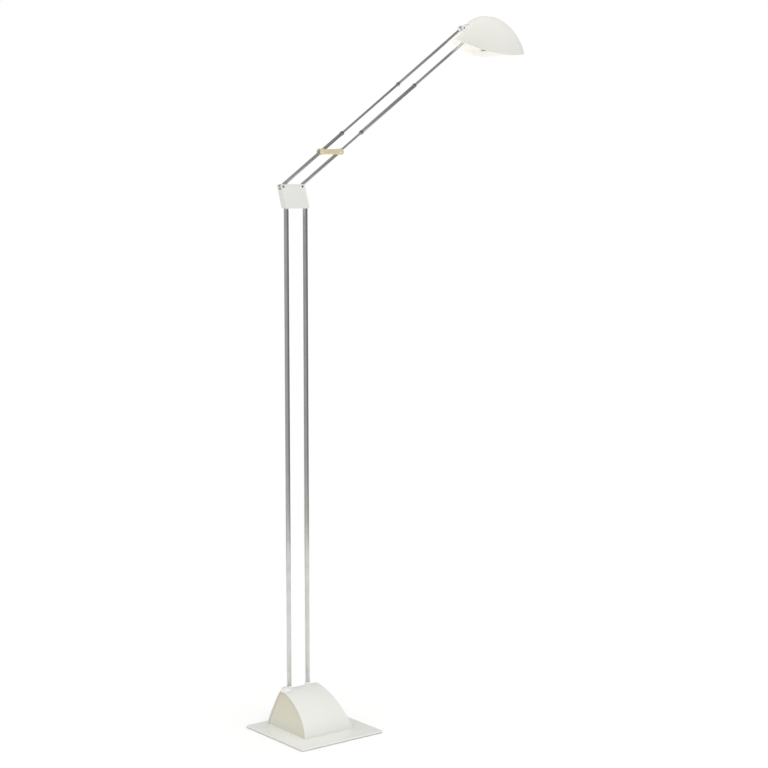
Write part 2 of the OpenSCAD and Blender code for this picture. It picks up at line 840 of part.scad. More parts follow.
// One cheek of the link, between two distances from the arm's plane.
module link_cheek(side) {
    translate([0, side > 0 ? 0 : -2 * link_inner_y - link_cheek_t, 0]) translate([0, link_inner_y, 0]) difference() {
        union() {
            for (x = [link_x, link_x + rod_gap]) across(x, link_z) cylinder(d = link_end_d, h = link_cheek_t);
            translate([link_x, arm_y, link_z - link_bar_h / 2]) cube([rod_gap, link_cheek_t, link_bar_h]);
        }
        for (x = [link_x, link_x + rod_gap]) across(x, link_z) translate([0, 0, -1])
            cylinder(d = link_pin_d + 2 * seat_gap, h = link_cheek_t + 2);
    }
}

module link_front() {
    color("goldenrod") link_cheek(-1);
}

module link_back() {
    color("goldenrod") link_cheek(1);
}

module link_pins() {
    outer_y = link_inner_y + link_cheek_t + seat_gap;
    color("darkgoldenrod") for (x = [link_x, link_x + rod_gap]) across(x, link_z) {
        translate([0, 0, -outer_y - 0.5]) cylinder(d = link_pin_d, h = 2 * outer_y + 1);
        translate([0, 0, outer_y]) cylinder(d1 = 6, d2 = 4, h = 1.4);
        translate([0, 0, -outer_y - 1.4]) cylinder(d1 = 4, d2 = 6, h = 1.4);
    }
}

// ---------------------------------------------------------------- head

web_low = 7.5;
web_high = 12.5;
web_x0 = 26;
holder_x0 = eye_d / 2 + rod_gap + 2.5;
holder_arm_w = 9;
holder_top = -29;
holder_h = 14;
reflector_x = holder_x0 + 12 + reflector_r + 0.5;
reflector_rim_z = -48;
reflector_apex_z = -20;
reflector_sheet = 0.9;
boss_x = [web_x0 + 9, ridge_peak + 26];
boss_d = 8;
carrier_screw_d = 3;

// The shade's own shape, about the upper head pivot.
function ridge_height(x) = x < ridge_peak
    ? shade_rise - (shade_rise - back_rim_z) * pow((ridge_peak - x) / (ridge_peak - shade_back), 1.7)
    : shade_rise - (shade_rise - tip_z) * pow((x - ridge_peak) / (shade_tip - ridge_peak), 2.8);
function rim_height(x) = x < low_at
    ? -shade_drop + (back_rim_z + shade_drop) * pow((low_at - x) / (low_at - shade_back), 2)
    : -shade_drop + (tip_z + shade_drop) * pow((x - low_at) / (shade_tip - low_at), 2);
function half_width(x) = x < wide_at
    ? shade_back_half_w + (shade_half_w - shade_back_half_w) * sin(90 * (x - shade_back) / (wide_at - shade_back))
    : shade_half_w * sqrt(max(0, 1 - pow((x - wide_at) / (shade_tip - wide_at), 2.3)));

// One cross section: an arch on the rim, with its feet carried down by skirt.
function arch(x, wall, skirt, n = 22) =
    let (w = max(tip_half_w, half_width(x) - wall), foot = rim_height(x),
         h = max(tip_half_w - wall / 2, ridge_height(x) - wall - foot))
    [for (i = [0:n]) let (a = 180 * i / n)
        [x, -w * cos(a), foot + h * sin(a) - (i == 0 || i == n ? skirt : 0)]];

// Places of the cross sections, closer together towards the tip.
function stations(x0, x1, n = 34) = [for (i = [0:n]) x0 + (x1 - x0) * sin(90 * i / n)];

module skin(sections) {
    m = len(sections[0]);
    n = len(sections);
    polyhedron(
        points = [for (s = sections) each s],
        faces = concat(
            [[for (j = [0:m - 1]) m - 1 - j]],
            [for (i = [0:n - 2], j = [0:m - 1])
                [i * m + j, i * m + (j + 1) % m, (i + 1) * m + (j + 1) % m, (i + 1) * m + j]],
            [[for (j = [0:m - 1]) (n - 1) * m + j]]),
        convexity = 6);
}

module shade_solid(wall, skirt) {
    skin([for (x = stations(shade_back + 0.5 - wall, shade_tip - 0.6 - 1.5 * wall)) arch(x, wall, skirt)]);
}

module shade() {
    color("ivory") at_head() difference() {
        union() {
            difference() {
                shade_solid(0, 0);
                shade_solid(shade_wall, 12);
            }
            for (x = boss_x) translate([x, 0, web_high + seat_gap])
                cylinder(d = boss_d, h = ridge_height(x) - web_high - shade_wall / 2);
        }
        translate([shade_back - 10, -slot_half_w, -big / 2]) cube([web_x0 - 6 - shade_back + 10, 2 * slot_half_w, big]);
        for (x = boss_x) translate([x, 0, web_high - 1])
            cylinder(d = carrier_screw_d + 2 * seat_gap, h = 9);
    }
}

// Outline of the carrier's cheeks in X and Z about the upper head pivot.
module carrier_cheek() {
    outline = [[0, -cheek_r], [rod_gap + 3, -cheek_r], [holder_x0 + holder_arm_w, web_low - 6],
               [holder_x0 + holder_arm_w, web_high], [web_x0, web_high], [3, cheek_r - 1]];
    difference() {
        union() {
            rotate([90, 0, 0]) linear_extrude(height = cheek_t) polygon(outline);
            for (x = [0, rod_gap]) translate([x, 0, 0]) rotate([90, 0, 0]) cylinder(r = cheek_r, h = cheek_t);
        }
        for (x = [0, rod_gap]) translate([x, 1, 0]) rotate([90, 0, 0])
            cylinder(d = head_pin_d + 2 * seat_gap, h = cheek_t + 2);
    }
}

module head_carrier() {
    nose_end = reflector_x + 7;
    color("white") at_head() difference() {
        union() {
            for (side = [-1, 1]) translate([0, side * (pocket_w / 2 + cheek_t / 2) + cheek_t / 2, 0]) carrier_cheek();
            translate([web_x0, -cheek_y, web_low]) cube([nose_end - web_x0, 2 * cheek_y, web_high - web_low]);
            translate([holder_x0, -cheek_y, holder_top + seat_gap])
                cube([holder_arm_w, 2 * cheek_y, web_high - holder_top - seat_gap]);
            translate([reflector_x, 0, reflector_apex_z + 1 + seat_gap])
                cylinder(d = 10, h = web_high - reflector_apex_z - 1 - seat_gap);
        }
        for (x = boss_x) translate([x, 0, web_low - 5])
            cylinder(d = carrier_screw_d + 2 * seat_gap, h = 20);
        translate([reflector_x, 0, reflector_apex_z - 5]) cylinder(d = carrier_screw_d + 2 * seat_gap, h = 16);
    }
}

module head_pins() {
    color("slategray") at_head() for (x = [0, rod_gap]) translate([x, 0, 0]) rotate([-90, 0, 0]) {
        translate([0, 0, -cheek_y - 0.5]) cylinder(d = head_pin_d, h = 2 * cheek_y + 0.5 + seat_gap);
        translate([0, 0, cheek_y + seat_gap - eps]) cylinder(d = 5.5, h = 0.5);
    }
}

module head_washers() {
    color("white") at_head() for (x = [0, rod_gap], side = [-1, 1]) translate([x, 0, 0]) rotate([-90, 0, 0])
        translate([0, 0, side * (pocket_w / 2 - seat_gap - washer_t / 2) - washer_t / 2])
            tube(eye_d - 0.4, head_pin_d + 2 * seat_gap, washer_t);
}

module carrier_screws() {
    color("silver") at_head() {
        for (x = boss_x) translate([x, 0, web_low - seat_gap]) head_screw(12, carrier_screw_d, 6, 2);
        translate([reflector_x, 0, reflector_apex_z - reflector_sheet - 0.3]) head_screw(11, carrier_screw_d, 6, 2);
    }
}

// A dish that opens downwards, cut away at its back for the lamp holder.
module reflector() {
    depth = reflector_apex_z - reflector_rim_z;
    steps = 14;
    lip = 1.6;
    outer = [for (i = [0:steps]) let (a = 90 * i / steps) [reflector_r * cos(a), depth * sin(a)]];
    inner = [for (i = [0:steps]) let (a = 90 - 90 * i / steps) [(reflector_r - reflector_sheet) * cos(a), (depth - reflector_sheet) * sin(a)]];
    color("gainsboro") at_head() translate([reflector_x, 0, reflector_rim_z]) difference() {
        rotate_extrude($fn = 96) polygon(concat(outer, inner));
        translate([0, 0, depth - 4]) cylinder(d = carrier_screw_d + 2 * seat_gap, h = 8);
        translate([-reflector_r - 4, 0, (holder_top - holder_h / 2) - reflector_rim_z])
            rotate([0, 90, 0]) cylinder(d = bulb_d + 4, h = 20);
        translate([-reflector_r - 4, -bulb_d / 2 - 2, -lip]) cube([20, bulb_d + 4, 8]);
    }
}

module lamp_holder() {
    color("white") at_head() difference() {
        translate([holder_x0, -9, holder_top - holder_h]) cube([11, 18, holder_h]);
        for (side = [-1, 1]) translate([holder_x0 + 4, side * 3.2, holder_top - holder_h / 2])
            rotate([0, 90, 0]) cylinder(d = 1.3, h = 10);
        for (side = [-1, 1]) translate([holder_x0 + 5.5, side * 9, holder_top - holder_h / 2])
            cube([12, 2, 3], center = true);
    }
}

bulb_x = holder_x0 + 12.5;
bulb_len = 30;
seal_len = 7;

module bulb_glass() {
    color("lightcyan") at_head() translate([bulb_x, 0, holder_top - holder_h / 2]) rotate([0, 90, 0]) difference() {
        union() {
            translate([-2, -4.6, 0]) cube([4, 9.2, seal_len]);
            translate([0, 0, seal_len - 1]) cylinder(d = bulb_d, h = bulb_len - seal_len - bulb_d / 2);
            translate([0, 0, bulb_len - 1 - bulb_d / 2]) sphere(d = bulb_d);
        }
        translate([0, 0, seal_len + 1]) cylinder(d = bulb_d - 2, h = bulb_len - seal_len - bulb_d / 2 - 2);
        for (side = [-1, 1]) translate([0, side * 3.2, -1]) cylinder(d = 1.1, h = seal_len + 3, $fn = 16);
    }
}

module bulb_wires() {
    color("gray") at_head() translate([bulb_x, 0, holder_top - holder_h / 2]) rotate([0, 90, 0]) {
        for (side = [-1, 1]) translate([0, side * 3.2, -7]) cylinder(d = 1, h = seal_len + 15, $fn = 16);
        translate([0, 0, seal_len + 7]) rotate([90, 0, 0]) cylinder(d = 1.6, h = 6.4, center = true, $fn = 16);
    }
}

glass_t = 3;
glass_z = reflector_rim_z - glass_t - 0.3;

module safety_glass() {
    color("lightcyan") at_head() translate([reflector_x, 0, glass_z]) cylinder(r = reflector_r, h = glass_t, $fn = 96);
}

// Spring clips that hook over the reflector's rim and under the glass.
module glass_clips() {
    clip_w = 7;
    clip_t = 0.7;
    color("silver") at_head() translate([reflector_x, 0, 0]) for (a = [-60, 0, 60])
        rotate([0, 0, a]) translate([reflector_r + seat_gap, 0, 0]) {
            translate([0, -clip_w / 2, glass_z - clip_t - seat_gap])
                cube([clip_t, clip_w, reflector_rim_z + 8 - glass_z + clip_t + seat_gap]);
            translate([-4, -clip_w / 2, glass_z - clip_t - seat_gap]) cube([4 + clip_t, clip_w, clip_t]);
        }
}

base_pad();
base_plate();
base_screws();
ballast_block();
cover();
cover_end_left();
cover_end_right();
cord_gland();
transformer_core();
transformer_coil();
transformer_frame();
terminal_block();
dimmer_board();
dimmer_parts();
dimmer_pot();
dimmer_knob();
rod_socket();
rod_clamp_screws();
rod_ferrules();
column_rod_left();
column_rod_right();
bracket_front();
bracket_back();
bracket_screws();
bracket_pins();
bracket_washers();
contact_springs();
upper_eye();
upper_tube();
upper_collar();
upper_rod();
upper_link_boss();
upper_slide_tube();
upper_slide_collar();
upper_head_eye();
upper_ferrule();
lower_eye();
lower_tube();
lower_link_boss();
lower_rod();
lower_sleeve();
sleeve_collars();
lower_slide_tube();
lower_head_eye();
lower_ferrule();
link_front();
link_back();
link_pins();
head_carrier();
head_pins();
head_washers();
carrier_screws();
shade();
reflector();
lamp_holder();
bulb_glass();
bulb_wires();
safety_glass();
glass_clips();
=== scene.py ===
# %% [markdown]
# # A floor reading lamp with a telescopic arm
# The lamp is a low voltage halogen lamp: a thin square plate with a humped cover, two chromed rods,
# a small bracket, two thin strands that slide and swing as a parallelogram, and a visor shade.
# The measured model is loaded first. Every piece made here takes its size and place from it.

# %% The measured model
import json
import math

import bmesh
import bpy
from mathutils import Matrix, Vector


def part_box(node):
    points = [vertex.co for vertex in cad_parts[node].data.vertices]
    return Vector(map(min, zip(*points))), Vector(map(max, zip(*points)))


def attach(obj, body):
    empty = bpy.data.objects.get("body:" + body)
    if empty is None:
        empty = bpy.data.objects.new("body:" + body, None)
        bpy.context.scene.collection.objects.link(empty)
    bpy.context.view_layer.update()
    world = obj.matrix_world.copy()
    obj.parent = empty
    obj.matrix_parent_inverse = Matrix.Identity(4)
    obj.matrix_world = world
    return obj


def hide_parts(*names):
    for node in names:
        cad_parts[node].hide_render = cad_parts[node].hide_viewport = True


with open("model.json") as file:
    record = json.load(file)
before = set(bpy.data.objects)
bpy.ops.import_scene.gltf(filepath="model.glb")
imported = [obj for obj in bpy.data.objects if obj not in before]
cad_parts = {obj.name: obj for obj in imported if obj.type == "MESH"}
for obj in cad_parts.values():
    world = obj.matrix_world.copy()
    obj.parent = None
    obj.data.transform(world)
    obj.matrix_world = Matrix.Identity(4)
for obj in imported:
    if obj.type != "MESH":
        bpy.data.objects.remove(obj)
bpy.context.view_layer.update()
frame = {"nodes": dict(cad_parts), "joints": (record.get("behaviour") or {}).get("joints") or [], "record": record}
MM = 0.001
bodies = frame["record"]["behaviour"]["bodies"]
body_of_node = {node: body for body, nodes in bodies.items() for node in nodes}
slot_of_node = {part["node"]: part["material_slot"] for part in frame["record"]["subparts"]}
joint = {j["name"]: j for j in frame["joints"]}

# %% [markdown]
# ## Camera, floor and light
# A long lens from about four metres keeps the tall, thin lamp nearly free of perspective. The view
# transform is plain sRGB, so that a white enamel stays as white as its colour says.

# %% Camera
CAMERA_PLACE = Vector((-2.4397, -3.4077, 1.325))
CAMERA_TURN = math.radians(37.84)
CAMERA_PITCH = math.radians(-6.91)

view_line = Vector((math.sin(CAMERA_TURN) * math.cos(CAMERA_PITCH),
                    math.cos(CAMERA_TURN) * math.cos(CAMERA_PITCH),
                    math.sin(CAMERA_PITCH)))
bpy.ops.object.select_all(action="DESELECT")
bpy.ops.object.camera_add(location=CAMERA_PLACE)
camera = bpy.context.object
camera.name = "camera"
camera.rotation_mode = "QUATERNION"
camera.rotation_quaternion = view_line.to_track_quat("-Z", "Y")
camera.data.lens = 86.3
camera.data.sensor_width = 36
bpy.context.scene.camera = camera
bpy.context.scene.view_settings.view_transform = "Standard"
print("camera looks along", [round(n, 3) for n in view_line])

# %% [markdown]
# The floor is a pale round sheet just under the pad. It is kept small, so that the bright metal
# mirrors the room and not an endless white floor.

# %% Floor
FLOOR_RADIUS = 1.4
FLOOR_GAP = 0.2 * MM

bpy.ops.mesh.primitive_circle_add(vertices=96, radius=FLOOR_RADIUS, fill_type="NGON",
                                  location=(0, 0, -FLOOR_GAP))
floor = bpy.context.object
floor.name = "floor"
floor_paint = bpy.data.materials.new("floor_paint")
floor_paint.use_nodes = True
floor_shader = floor_paint.node_tree.nodes["Principled BSDF"]
floor_shader.inputs["Base Color"].default_value = (0.93, 0.93, 0.925, 1)
floor_shader.inputs["Roughness"].default_value = 0.9
floor_shader.inputs["Specular IOR Level"].default_value = 0.1
floor.data.materials.append(floor_paint)
print("floor", FLOOR_RADIUS * 2, "m across")

# %% [markdown]
# The room is an even white tent. Its light falls from everywhere, and a broad soft lamp adds a
# little from the front. What the polished metal mirrors is a grey room that gets darker towards the
# right and white below, so that thin chrome reads as chrome.

# %% Light
TENT = 0.86
ROOM_DARK = 0.17
ROOM_LIGHT = 0.50
ROOM_BELOW = 1.0
KEY_STRENGTH = 0.88
KEY_DIRECTION = (0.14, 0.52, -1.0)

world = bpy.data.worlds.new("tent")
bpy.context.scene.world = world
world.use_nodes = True
sky = world.node_tree
sky.nodes.clear()
direction = sky.nodes.new("ShaderNodeTexCoord").outputs["Generated"]
split = sky.nodes.new("ShaderNodeSeparateXYZ")
sky.links.new(direction, split.inputs[0])
side = sky.nodes.new("ShaderNodeMapRange")
side.inputs["From Min"].default_value = 0.75
side.inputs["From Max"].default_value = -0.75
side.inputs["To Min"].default_value = ROOM_DARK
side.inputs["To Max"].default_value = ROOM_LIGHT
sky.links.new(split.outputs["X"], side.inputs["Value"])
rays = sky.nodes.new("ShaderNodeLightPath")
white = sky.nodes.new("ShaderNodeBackground")
white.inputs["Strength"].default_value = 1.0
soft = sky.nodes.new("ShaderNodeBackground")
soft.inputs["Strength"].default_value = TENT
room = sky.nodes.new("ShaderNodeBackground")
below = sky.nodes.new("ShaderNodeMapRange")
below.inputs["From Min"].default_value = -0.15
below.inputs["From Max"].default_value = -0.55
sky.links.new(split.outputs["Z"], below.inputs["Value"])
mirrored_room = sky.nodes.new("ShaderNodeMix")
mirrored_room.inputs["B"].default_value = ROOM_BELOW
sky.links.new(below.outputs[0], mirrored_room.inputs["Factor"])
sky.links.new(side.outputs[0], mirrored_room.inputs["A"])
sky.links.new(mirrored_room.outputs[0], room.inputs["Strength"])
for background in (white, soft, room):
    background.inputs["Color"].default_value = (1, 1, 1, 1)
mirrored = sky.nodes.new("ShaderNodeMixShader")
sky.links.new(rays.outputs["Is Glossy Ray"], mirrored.inputs[0])
sky.links.new(soft.outputs[0], mirrored.inputs[1])
sky.links.new(room.outputs[0], mirrored.inputs[2])
seen = sky.nodes.new("ShaderNodeMixShader")
sky.links.new(rays.outputs["Is Camera Ray"], seen.inputs[0])
sky.links.new(mirrored.outputs[0], seen.inputs[1])
sky.links.new(white.outputs[0], seen.inputs[2])
sky.links.new(seen.outputs[0], sky.nodes.new("ShaderNodeOutputWorld").inputs["Surface"])

bpy.ops.object.light_add(type="SUN", location=(-2, -2, 3))
key = bpy.context.object
key.name = "key_light"
key.data.energy = KEY_STRENGTH
key.data.angle = math.radians(70)
key.visible_glossy = False
key.rotation_mode = "QUATERNION"
key.rotation_quaternion = Vector(KEY_DIRECTION).to_track_quat("-Z", "Y")
print("light from the tent", TENT, "and from the lamp", key.data.energy)

# %% [markdown]
# ## Tools for the pieces
# Every piece starts as a primitive or a drawn line and is shaped in edit mode. `pick` selects by
# place or normal, `draw` pulls one vertex along a line, `turned` spins such a line round an axis as
# a lathe does, and `stand_in` hands the finished piece to the measured model.

# %% Selecting and finishing
def edit(piece):
    """Opens one piece in edit mode, with nothing else selected."""
    bpy.ops.object.select_all(action="DESELECT")
    piece.select_set(True)
    bpy.context.view_layer.objects.active = piece
    bpy.ops.object.mode_set(mode="EDIT")


def pick(kind, test):
    """Selects the vertices, edges or faces for which test(middle, element) is true."""
    bpy.ops.mesh.select_mode(type=kind)
    bpy.ops.mesh.select_all(action="DESELECT")
    mesh = bmesh.from_edit_mesh(bpy.context.object.data)
    mesh.normal_update()
    found = 0
    for element in {"VERT": mesh.verts, "EDGE": mesh.edges, "FACE": mesh.faces}[kind]:
        corners = [element] if kind == "VERT" else element.verts
        middle = sum((v.co for v in corners), Vector()) / len(corners)
        if test(middle, element):
            element.select_set(True)
            found += 1
    mesh.select_flush_mode()
    bmesh.update_edit_mesh(bpy.context.object.data)
    return found


def close_up():
    """Merges doubled vertices, turns all faces outwards and leaves edit mode."""
    bpy.ops.mesh.select_all(action="SELECT")
    bpy.ops.mesh.remove_doubles(threshold=0.002 * MM)
    bpy.ops.mesh.normals_make_consistent(inside=False)
    bpy.ops.object.mode_set(mode="OBJECT")


def modify(piece, kind, **settings):
    """Adds a modifier with these settings and applies it."""
    bpy.ops.object.select_all(action="DESELECT")
    piece.select_set(True)
    bpy.context.view_layer.objects.active = piece
    modifier = piece.modifiers.new(kind.lower(), kind)
    for name, value in settings.items():
        setattr(modifier, name, value)
    bpy.ops.object.modifier_apply(modifier=modifier.name)


def round_edges(piece, width, segments=3, angle=35):
    modify(piece, "BEVEL", width=width, segments=segments, limit_method="ANGLE",
           angle_limit=math.radians(angle), use_clamp_overlap=True)


def smooth(piece, angle=32):
    bpy.ops.object.select_all(action="DESELECT")
    piece.select_set(True)
    bpy.context.view_layer.objects.active = piece
    bpy.ops.object.shade_smooth_by_angle(angle=math.radians(angle))


def put(piece, place=(0, 0, 0), turn=None):
    """Moves and turns a piece, and then works its place into its mesh."""
    piece.location = place
    if turn is not None:
        piece.rotation_mode = "QUATERNION"
        piece.rotation_quaternion = turn
    bpy.ops.object.select_all(action="DESELECT")
    piece.select_set(True)
    bpy.context.view_layer.objects.active = piece
    bpy.ops.object.transform_apply(location=True, rotation=True, scale=True)


finished = {}


def stand_in(piece, *nodes):
    """The piece takes over from these nodes: it rides on their body and has their finish."""
    smooth(piece)
    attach(piece, body_of_node[nodes[0]])
    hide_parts(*nodes)
    finished[piece] = slot_of_node[nodes[0]]
    size = [round(n / MM, 1) for n in piece.dimensions]
    print(piece.name, "for", ", ".join(nodes), size, "mm,", len(piece.data.polygons), "faces")
    return piece


# %% Drawing and turning
def draw(name, points, closed=False):
    """A line of vertices through the points, filled with one face if it is closed."""
    bpy.ops.object.select_all(action="DESELECT")
    bpy.ops.mesh.primitive_plane_add(size=MM)
    piece = bpy.context.object
    piece.name = name
    piece.data.name = name
    edit(piece)
    bpy.ops.mesh.select_mode(type="VERT")
    bpy.ops.mesh.select_all(action="SELECT")
    bpy.ops.mesh.merge(type="CENTER")
    bpy.ops.transform.translate(value=Vector(points[0]))
    for here, there in zip(points, points[1:]):
        step = Vector(there) - Vector(here)
        bpy.ops.mesh.extrude_vertices_move(TRANSFORM_OT_translate={"value": step})
    if closed:
        bpy.ops.mesh.select_all(action="SELECT")
        bpy.ops.mesh.edge_face_add()
    bpy.ops.mesh.select_all(action="SELECT")
    return piece


def turned(name, profile, steps=48):
    """A lathe: a line of (radius, height) points spun round Z, with both ends on the axis or joined."""
    piece = draw(name, [(radius, 0, height) for radius, height in profile])
    bpy.ops.mesh.spin(steps=steps, angle=math.tau, center=(0, 0, 0), axis=(0, 0, 1))
    close_up()
    return piece


def prism(name, outline, depth):
    """A closed outline of (x, z) points, extruded from y = 0 to y = depth."""
    piece = draw(name, [(x, 0, z) for x, z in outline], closed=True)
    bpy.ops.mesh.extrude_region_move(TRANSFORM_OT_translate={"value": (0, depth, 0)})
    close_up()
    return piece


def cut(piece, *cutters):
    """Takes the cutters away from the piece and removes them."""
    for cutter in cutters:
        modify(piece, "BOOLEAN", operation="DIFFERENCE", object=cutter, solver="EXACT")
        bpy.data.objects.remove(cutter)


def peg(radius, low, high):
    """A plain round cutter between two points on a line."""
    low, high = Vector(low), Vector(high)
    bpy.ops.object.select_all(action="DESELECT")
    bpy.ops.mesh.primitive_cylinder_add(vertices=48, radius=radius, depth=(high - low).length)
    cutter = bpy.context.object
    put(cutter, (low + high) / 2, (high - low).to_track_quat("Z", "Y"))
    return cutter


def arc(centre, radius, first, last, steps):
    """Points round a centre, between two angles in degrees."""
    angles = [math.radians(first + (last - first) * i / steps) for i in range(steps + 1)]
    return [(centre[0] + radius * math.cos(a), centre[1] + radius * math.sin(a)) for a in angles]


def rounded(corners, radii, steps=8):
    """A closed outline whose corners are rounded, each by its own radius."""
    outline = []
    for i, corner in enumerate(corners):
        p = Vector(corner)
        before = (Vector(corners[i - 1]) - p).normalized()
        after = (Vector(corners[(i + 1) % len(corners)]) - p).normalized()
        half = before.angle(after) / 2
        centre = p + (before + after).normalized() * radii[i] / math.sin(half)
        first = p + before * radii[i] / math.tan(half) - centre
        last = p + after * radii[i] / math.tan(half) - centre
        for k in range(steps + 1):
            outline.append(tuple(centre + first.lerp(last, k / steps).normalized() * radii[i]))
    return outline


# %% [markdown]
# ## Base plate
# The plate is a flat steel sheet, enamelled off-white. It is a cube pressed flat, with its upright
# corners rounded first and the top and bottom rims after them, so that the rims run round the
# corners in one go.

# %% Base plate
PLATE_CORNER = 3 * MM
PLATE_RIM = 0.9 * MM

low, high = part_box("base_plate")
bpy.ops.object.select_all(action="DESELECT")
bpy.ops.mesh.primitive_cube_add(size=1, location=(low + high) / 2, scale=high - low)
plate = bpy.context.object
plate.name = "enamelled_plate"
put(plate, plate.location)
edit(plate)
pick("EDGE", lambda middle, edge: abs((edge.verts[0].co - edge.verts[1].co).z) > MM)
bpy.ops.mesh.bevel(offset=PLATE_CORNER, segments=8, affect="EDGES")
pick("FACE", lambda middle, face: abs(face.normal.z) > 0.9)
bpy.ops.mesh.region_to_loop()
bpy.ops.mesh.bevel(offset=PLATE_RIM, segments=4, affect="EDGES")
close_up()
stand_in(plate, "base_plate")

# %% [markdown]
# ## Cover
# The cover is one bent sheet: steep at its foot, round at its ridge, and cut by two leaning planes.
# Its outline is two superellipse quarters, which one formula draws, once for the outside and once
# for the inside. The closed line is extruded along the ridge and bisected at both ends, so the
# sheet's edge stands proud of the end panels as a lip.

# %% Cover
FRONT_POWER = 1.6
BACK_POWER = 1.15
SHEET = 2 * MM
LIP_ROUND = 0.8 * MM
RIDGE_BEFORE_RODS = 1 * MM
END_LEAN = 16 * MM
QUARTER_STEPS = 36

cover_low, cover_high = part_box("cover")
rod_low, rod_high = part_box("column_rod_left")
rod_y = (rod_low.y + rod_high.y) / 2
ridge_y = rod_y - RIDGE_BEFORE_RODS
cover_height = cover_high.z - cover_low.z


def hump_quarter(foot_y, power, height):
    """Points from a foot up to the ridge."""
    points = []
    for i in range(QUARTER_STEPS + 1):
        a = math.radians(90 * i / QUARTER_STEPS)
        run = max(0.0, math.cos(a)) ** (2 / power)
        rise = math.sin(a) ** (2 / power)
        points.append((ridge_y + (foot_y - ridge_y) * run, cover_low.z + height * rise))
    return points


def hump_line(inset):
    """The hump from its front foot over the ridge to its back foot, in from the outside."""
    front = hump_quarter(cover_low.y + inset, FRONT_POWER, cover_height - inset)
    back = hump_quarter(cover_high.y - inset, BACK_POWER, cover_height - inset)
    return front + back[-2::-1]


beyond = cover_low.x * 1.1
sheet_line = hump_line(0) + hump_line(SHEET)[::-1]
cover = draw("cover_shell", [(beyond, y, z) for y, z in sheet_line], closed=True)
bpy.ops.mesh.extrude_region_move(TRANSFORM_OT_translate={"value": (-2 * beyond, 0, 0)})
for side_sign in (-1, 1):
    bpy.ops.mesh.select_all(action="SELECT")
    bpy.ops.mesh.bisect(plane_co=(side_sign * cover_high.x, 0, cover_low.z),
                        plane_no=(side_sign * cover_height, 0, END_LEAN), use_fill=True, clear_outer=True)
close_up()

FERRULE_GAP = 0.1 * MM
KNOB_HOLE = 3.3 * MM
CUT_ABOVE = 0.02
CUT_BELOW = 0.03

ferrule_low, ferrule_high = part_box("rod_ferrules")
ferrule_radius = (ferrule_high.y - ferrule_low.y) / 2
rod_x = abs(rod_low.x + rod_high.x) / 2
knob_low, knob_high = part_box("dimmer_knob")
knob_centre = (knob_low + knob_high) / 2
above, below = cover_high.z + CUT_ABOVE, cover_high.z - CUT_BELOW
for side_sign in (-1, 1):
    cut(cover, peg(ferrule_radius + FERRULE_GAP, (side_sign * rod_x, rod_y, below),
                   (side_sign * rod_x, rod_y, above)))
cut(cover, peg(KNOB_HOLE, (knob_centre.x, knob_centre.y, below),
               (knob_centre.x, knob_centre.y, above)))
round_edges(cover, LIP_ROUND, angle=50)
stand_in(cover, "cover")

# %% [markdown]
# ## Ferrules and rods
# A ferrule is a moulded ring that finishes the hole where a rod goes in, and a rod is a plain drawn
# tube. Both are round, so they are turned. Each line runs out along the wall and back inside it.

# %% Ferrules and rods
RIM_ROUND = 0.5 * MM
ROD_WALL = 1.5 * MM
COLLAR_LOW = 2.6 * MM
COLLAR_HIGH = 2.2 * MM
COLLAR_STEP = 0.9 * MM
FERRULE_ROUND = 0.3 * MM


def pipe(name, radius, bore, low, high, edge=RIM_ROUND):
    """A tube round Z with rounded rims."""
    line = [(bore, low), (radius, low), (radius, high), (bore, high), (bore, low)]
    piece = turned(name, line)
    round_edges(piece, edge, segments=2)
    return piece


rods = {}
for name, side_sign in (("left", -1), ("right", 1)):
    low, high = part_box("column_rod_" + name)
    rod_radius = (high.y - low.y) / 2
    rod = pipe("chromed_rod_" + name, rod_radius, rod_radius - ROD_WALL, low.z, high.z)
    put(rod, (side_sign * rod_x, rod_y, 0))
    rods[name] = stand_in(rod, "column_rod_" + name)
    ferrule_bore = rod_radius + FERRULE_GAP / 2
    collar_line = [(ferrule_bore, ferrule_low.z), (ferrule_radius, ferrule_low.z),
                   (ferrule_radius, ferrule_high.z - COLLAR_LOW),
                   (ferrule_radius - COLLAR_STEP, ferrule_high.z - COLLAR_HIGH),
                   (ferrule_radius - COLLAR_STEP, ferrule_high.z),
                   (ferrule_bore, ferrule_high.z), (ferrule_bore, ferrule_low.z)]
    ferrule = turned("moulded_ferrule_" + name, collar_line)
    round_edges(ferrule, FERRULE_ROUND, segments=2)
    put(ferrule, (side_sign * rod_x, rod_y, 0))
    stand_in(ferrule, "rod_ferrules")

# %% [markdown]
# ## Dimmer knob
# The knob is a small pressed-on disc with grip notches and a ring sunk in its top. A cylinder has
# every second side face pushed in for the notches, and its top face inset twice for the ring.

# %% Dimmer knob
GRIPS = 30
NOTCH = 0.35 * MM
NOTCH_EDGE = 0.12 * MM
RING_STEPS = ((0.7, 0.6), (1.4, 0), (0.35, -0.8), (1.0, 0), (0.35, 0.7))
KNOB_LIFT = 0.3 * MM
SPINDLE_RADIUS = 2 * MM
SPINDLE_LENGTH = 9 * MM

knob_radius = (knob_high.x - knob_low.x) / 2
knob_foot = cover_high.z + KNOB_LIFT
bpy.ops.object.select_all(action="DESELECT")
bpy.ops.mesh.primitive_cylinder_add(
    vertices=2 * GRIPS, radius=knob_radius, depth=knob_high.z - knob_foot,
    location=(knob_centre.x, knob_centre.y, (knob_high.z + knob_foot) / 2))
knob = bpy.context.object
knob.name = "grip_knob"
put(knob, knob.location)
edit(knob)
centre = Vector((knob_centre.x, knob_centre.y, 0))
pick("FACE", lambda middle, face: face.normal.z > 0.9)
for inwards, deeper in RING_STEPS:
    bpy.ops.mesh.inset(thickness=inwards * MM, depth=deeper * MM)


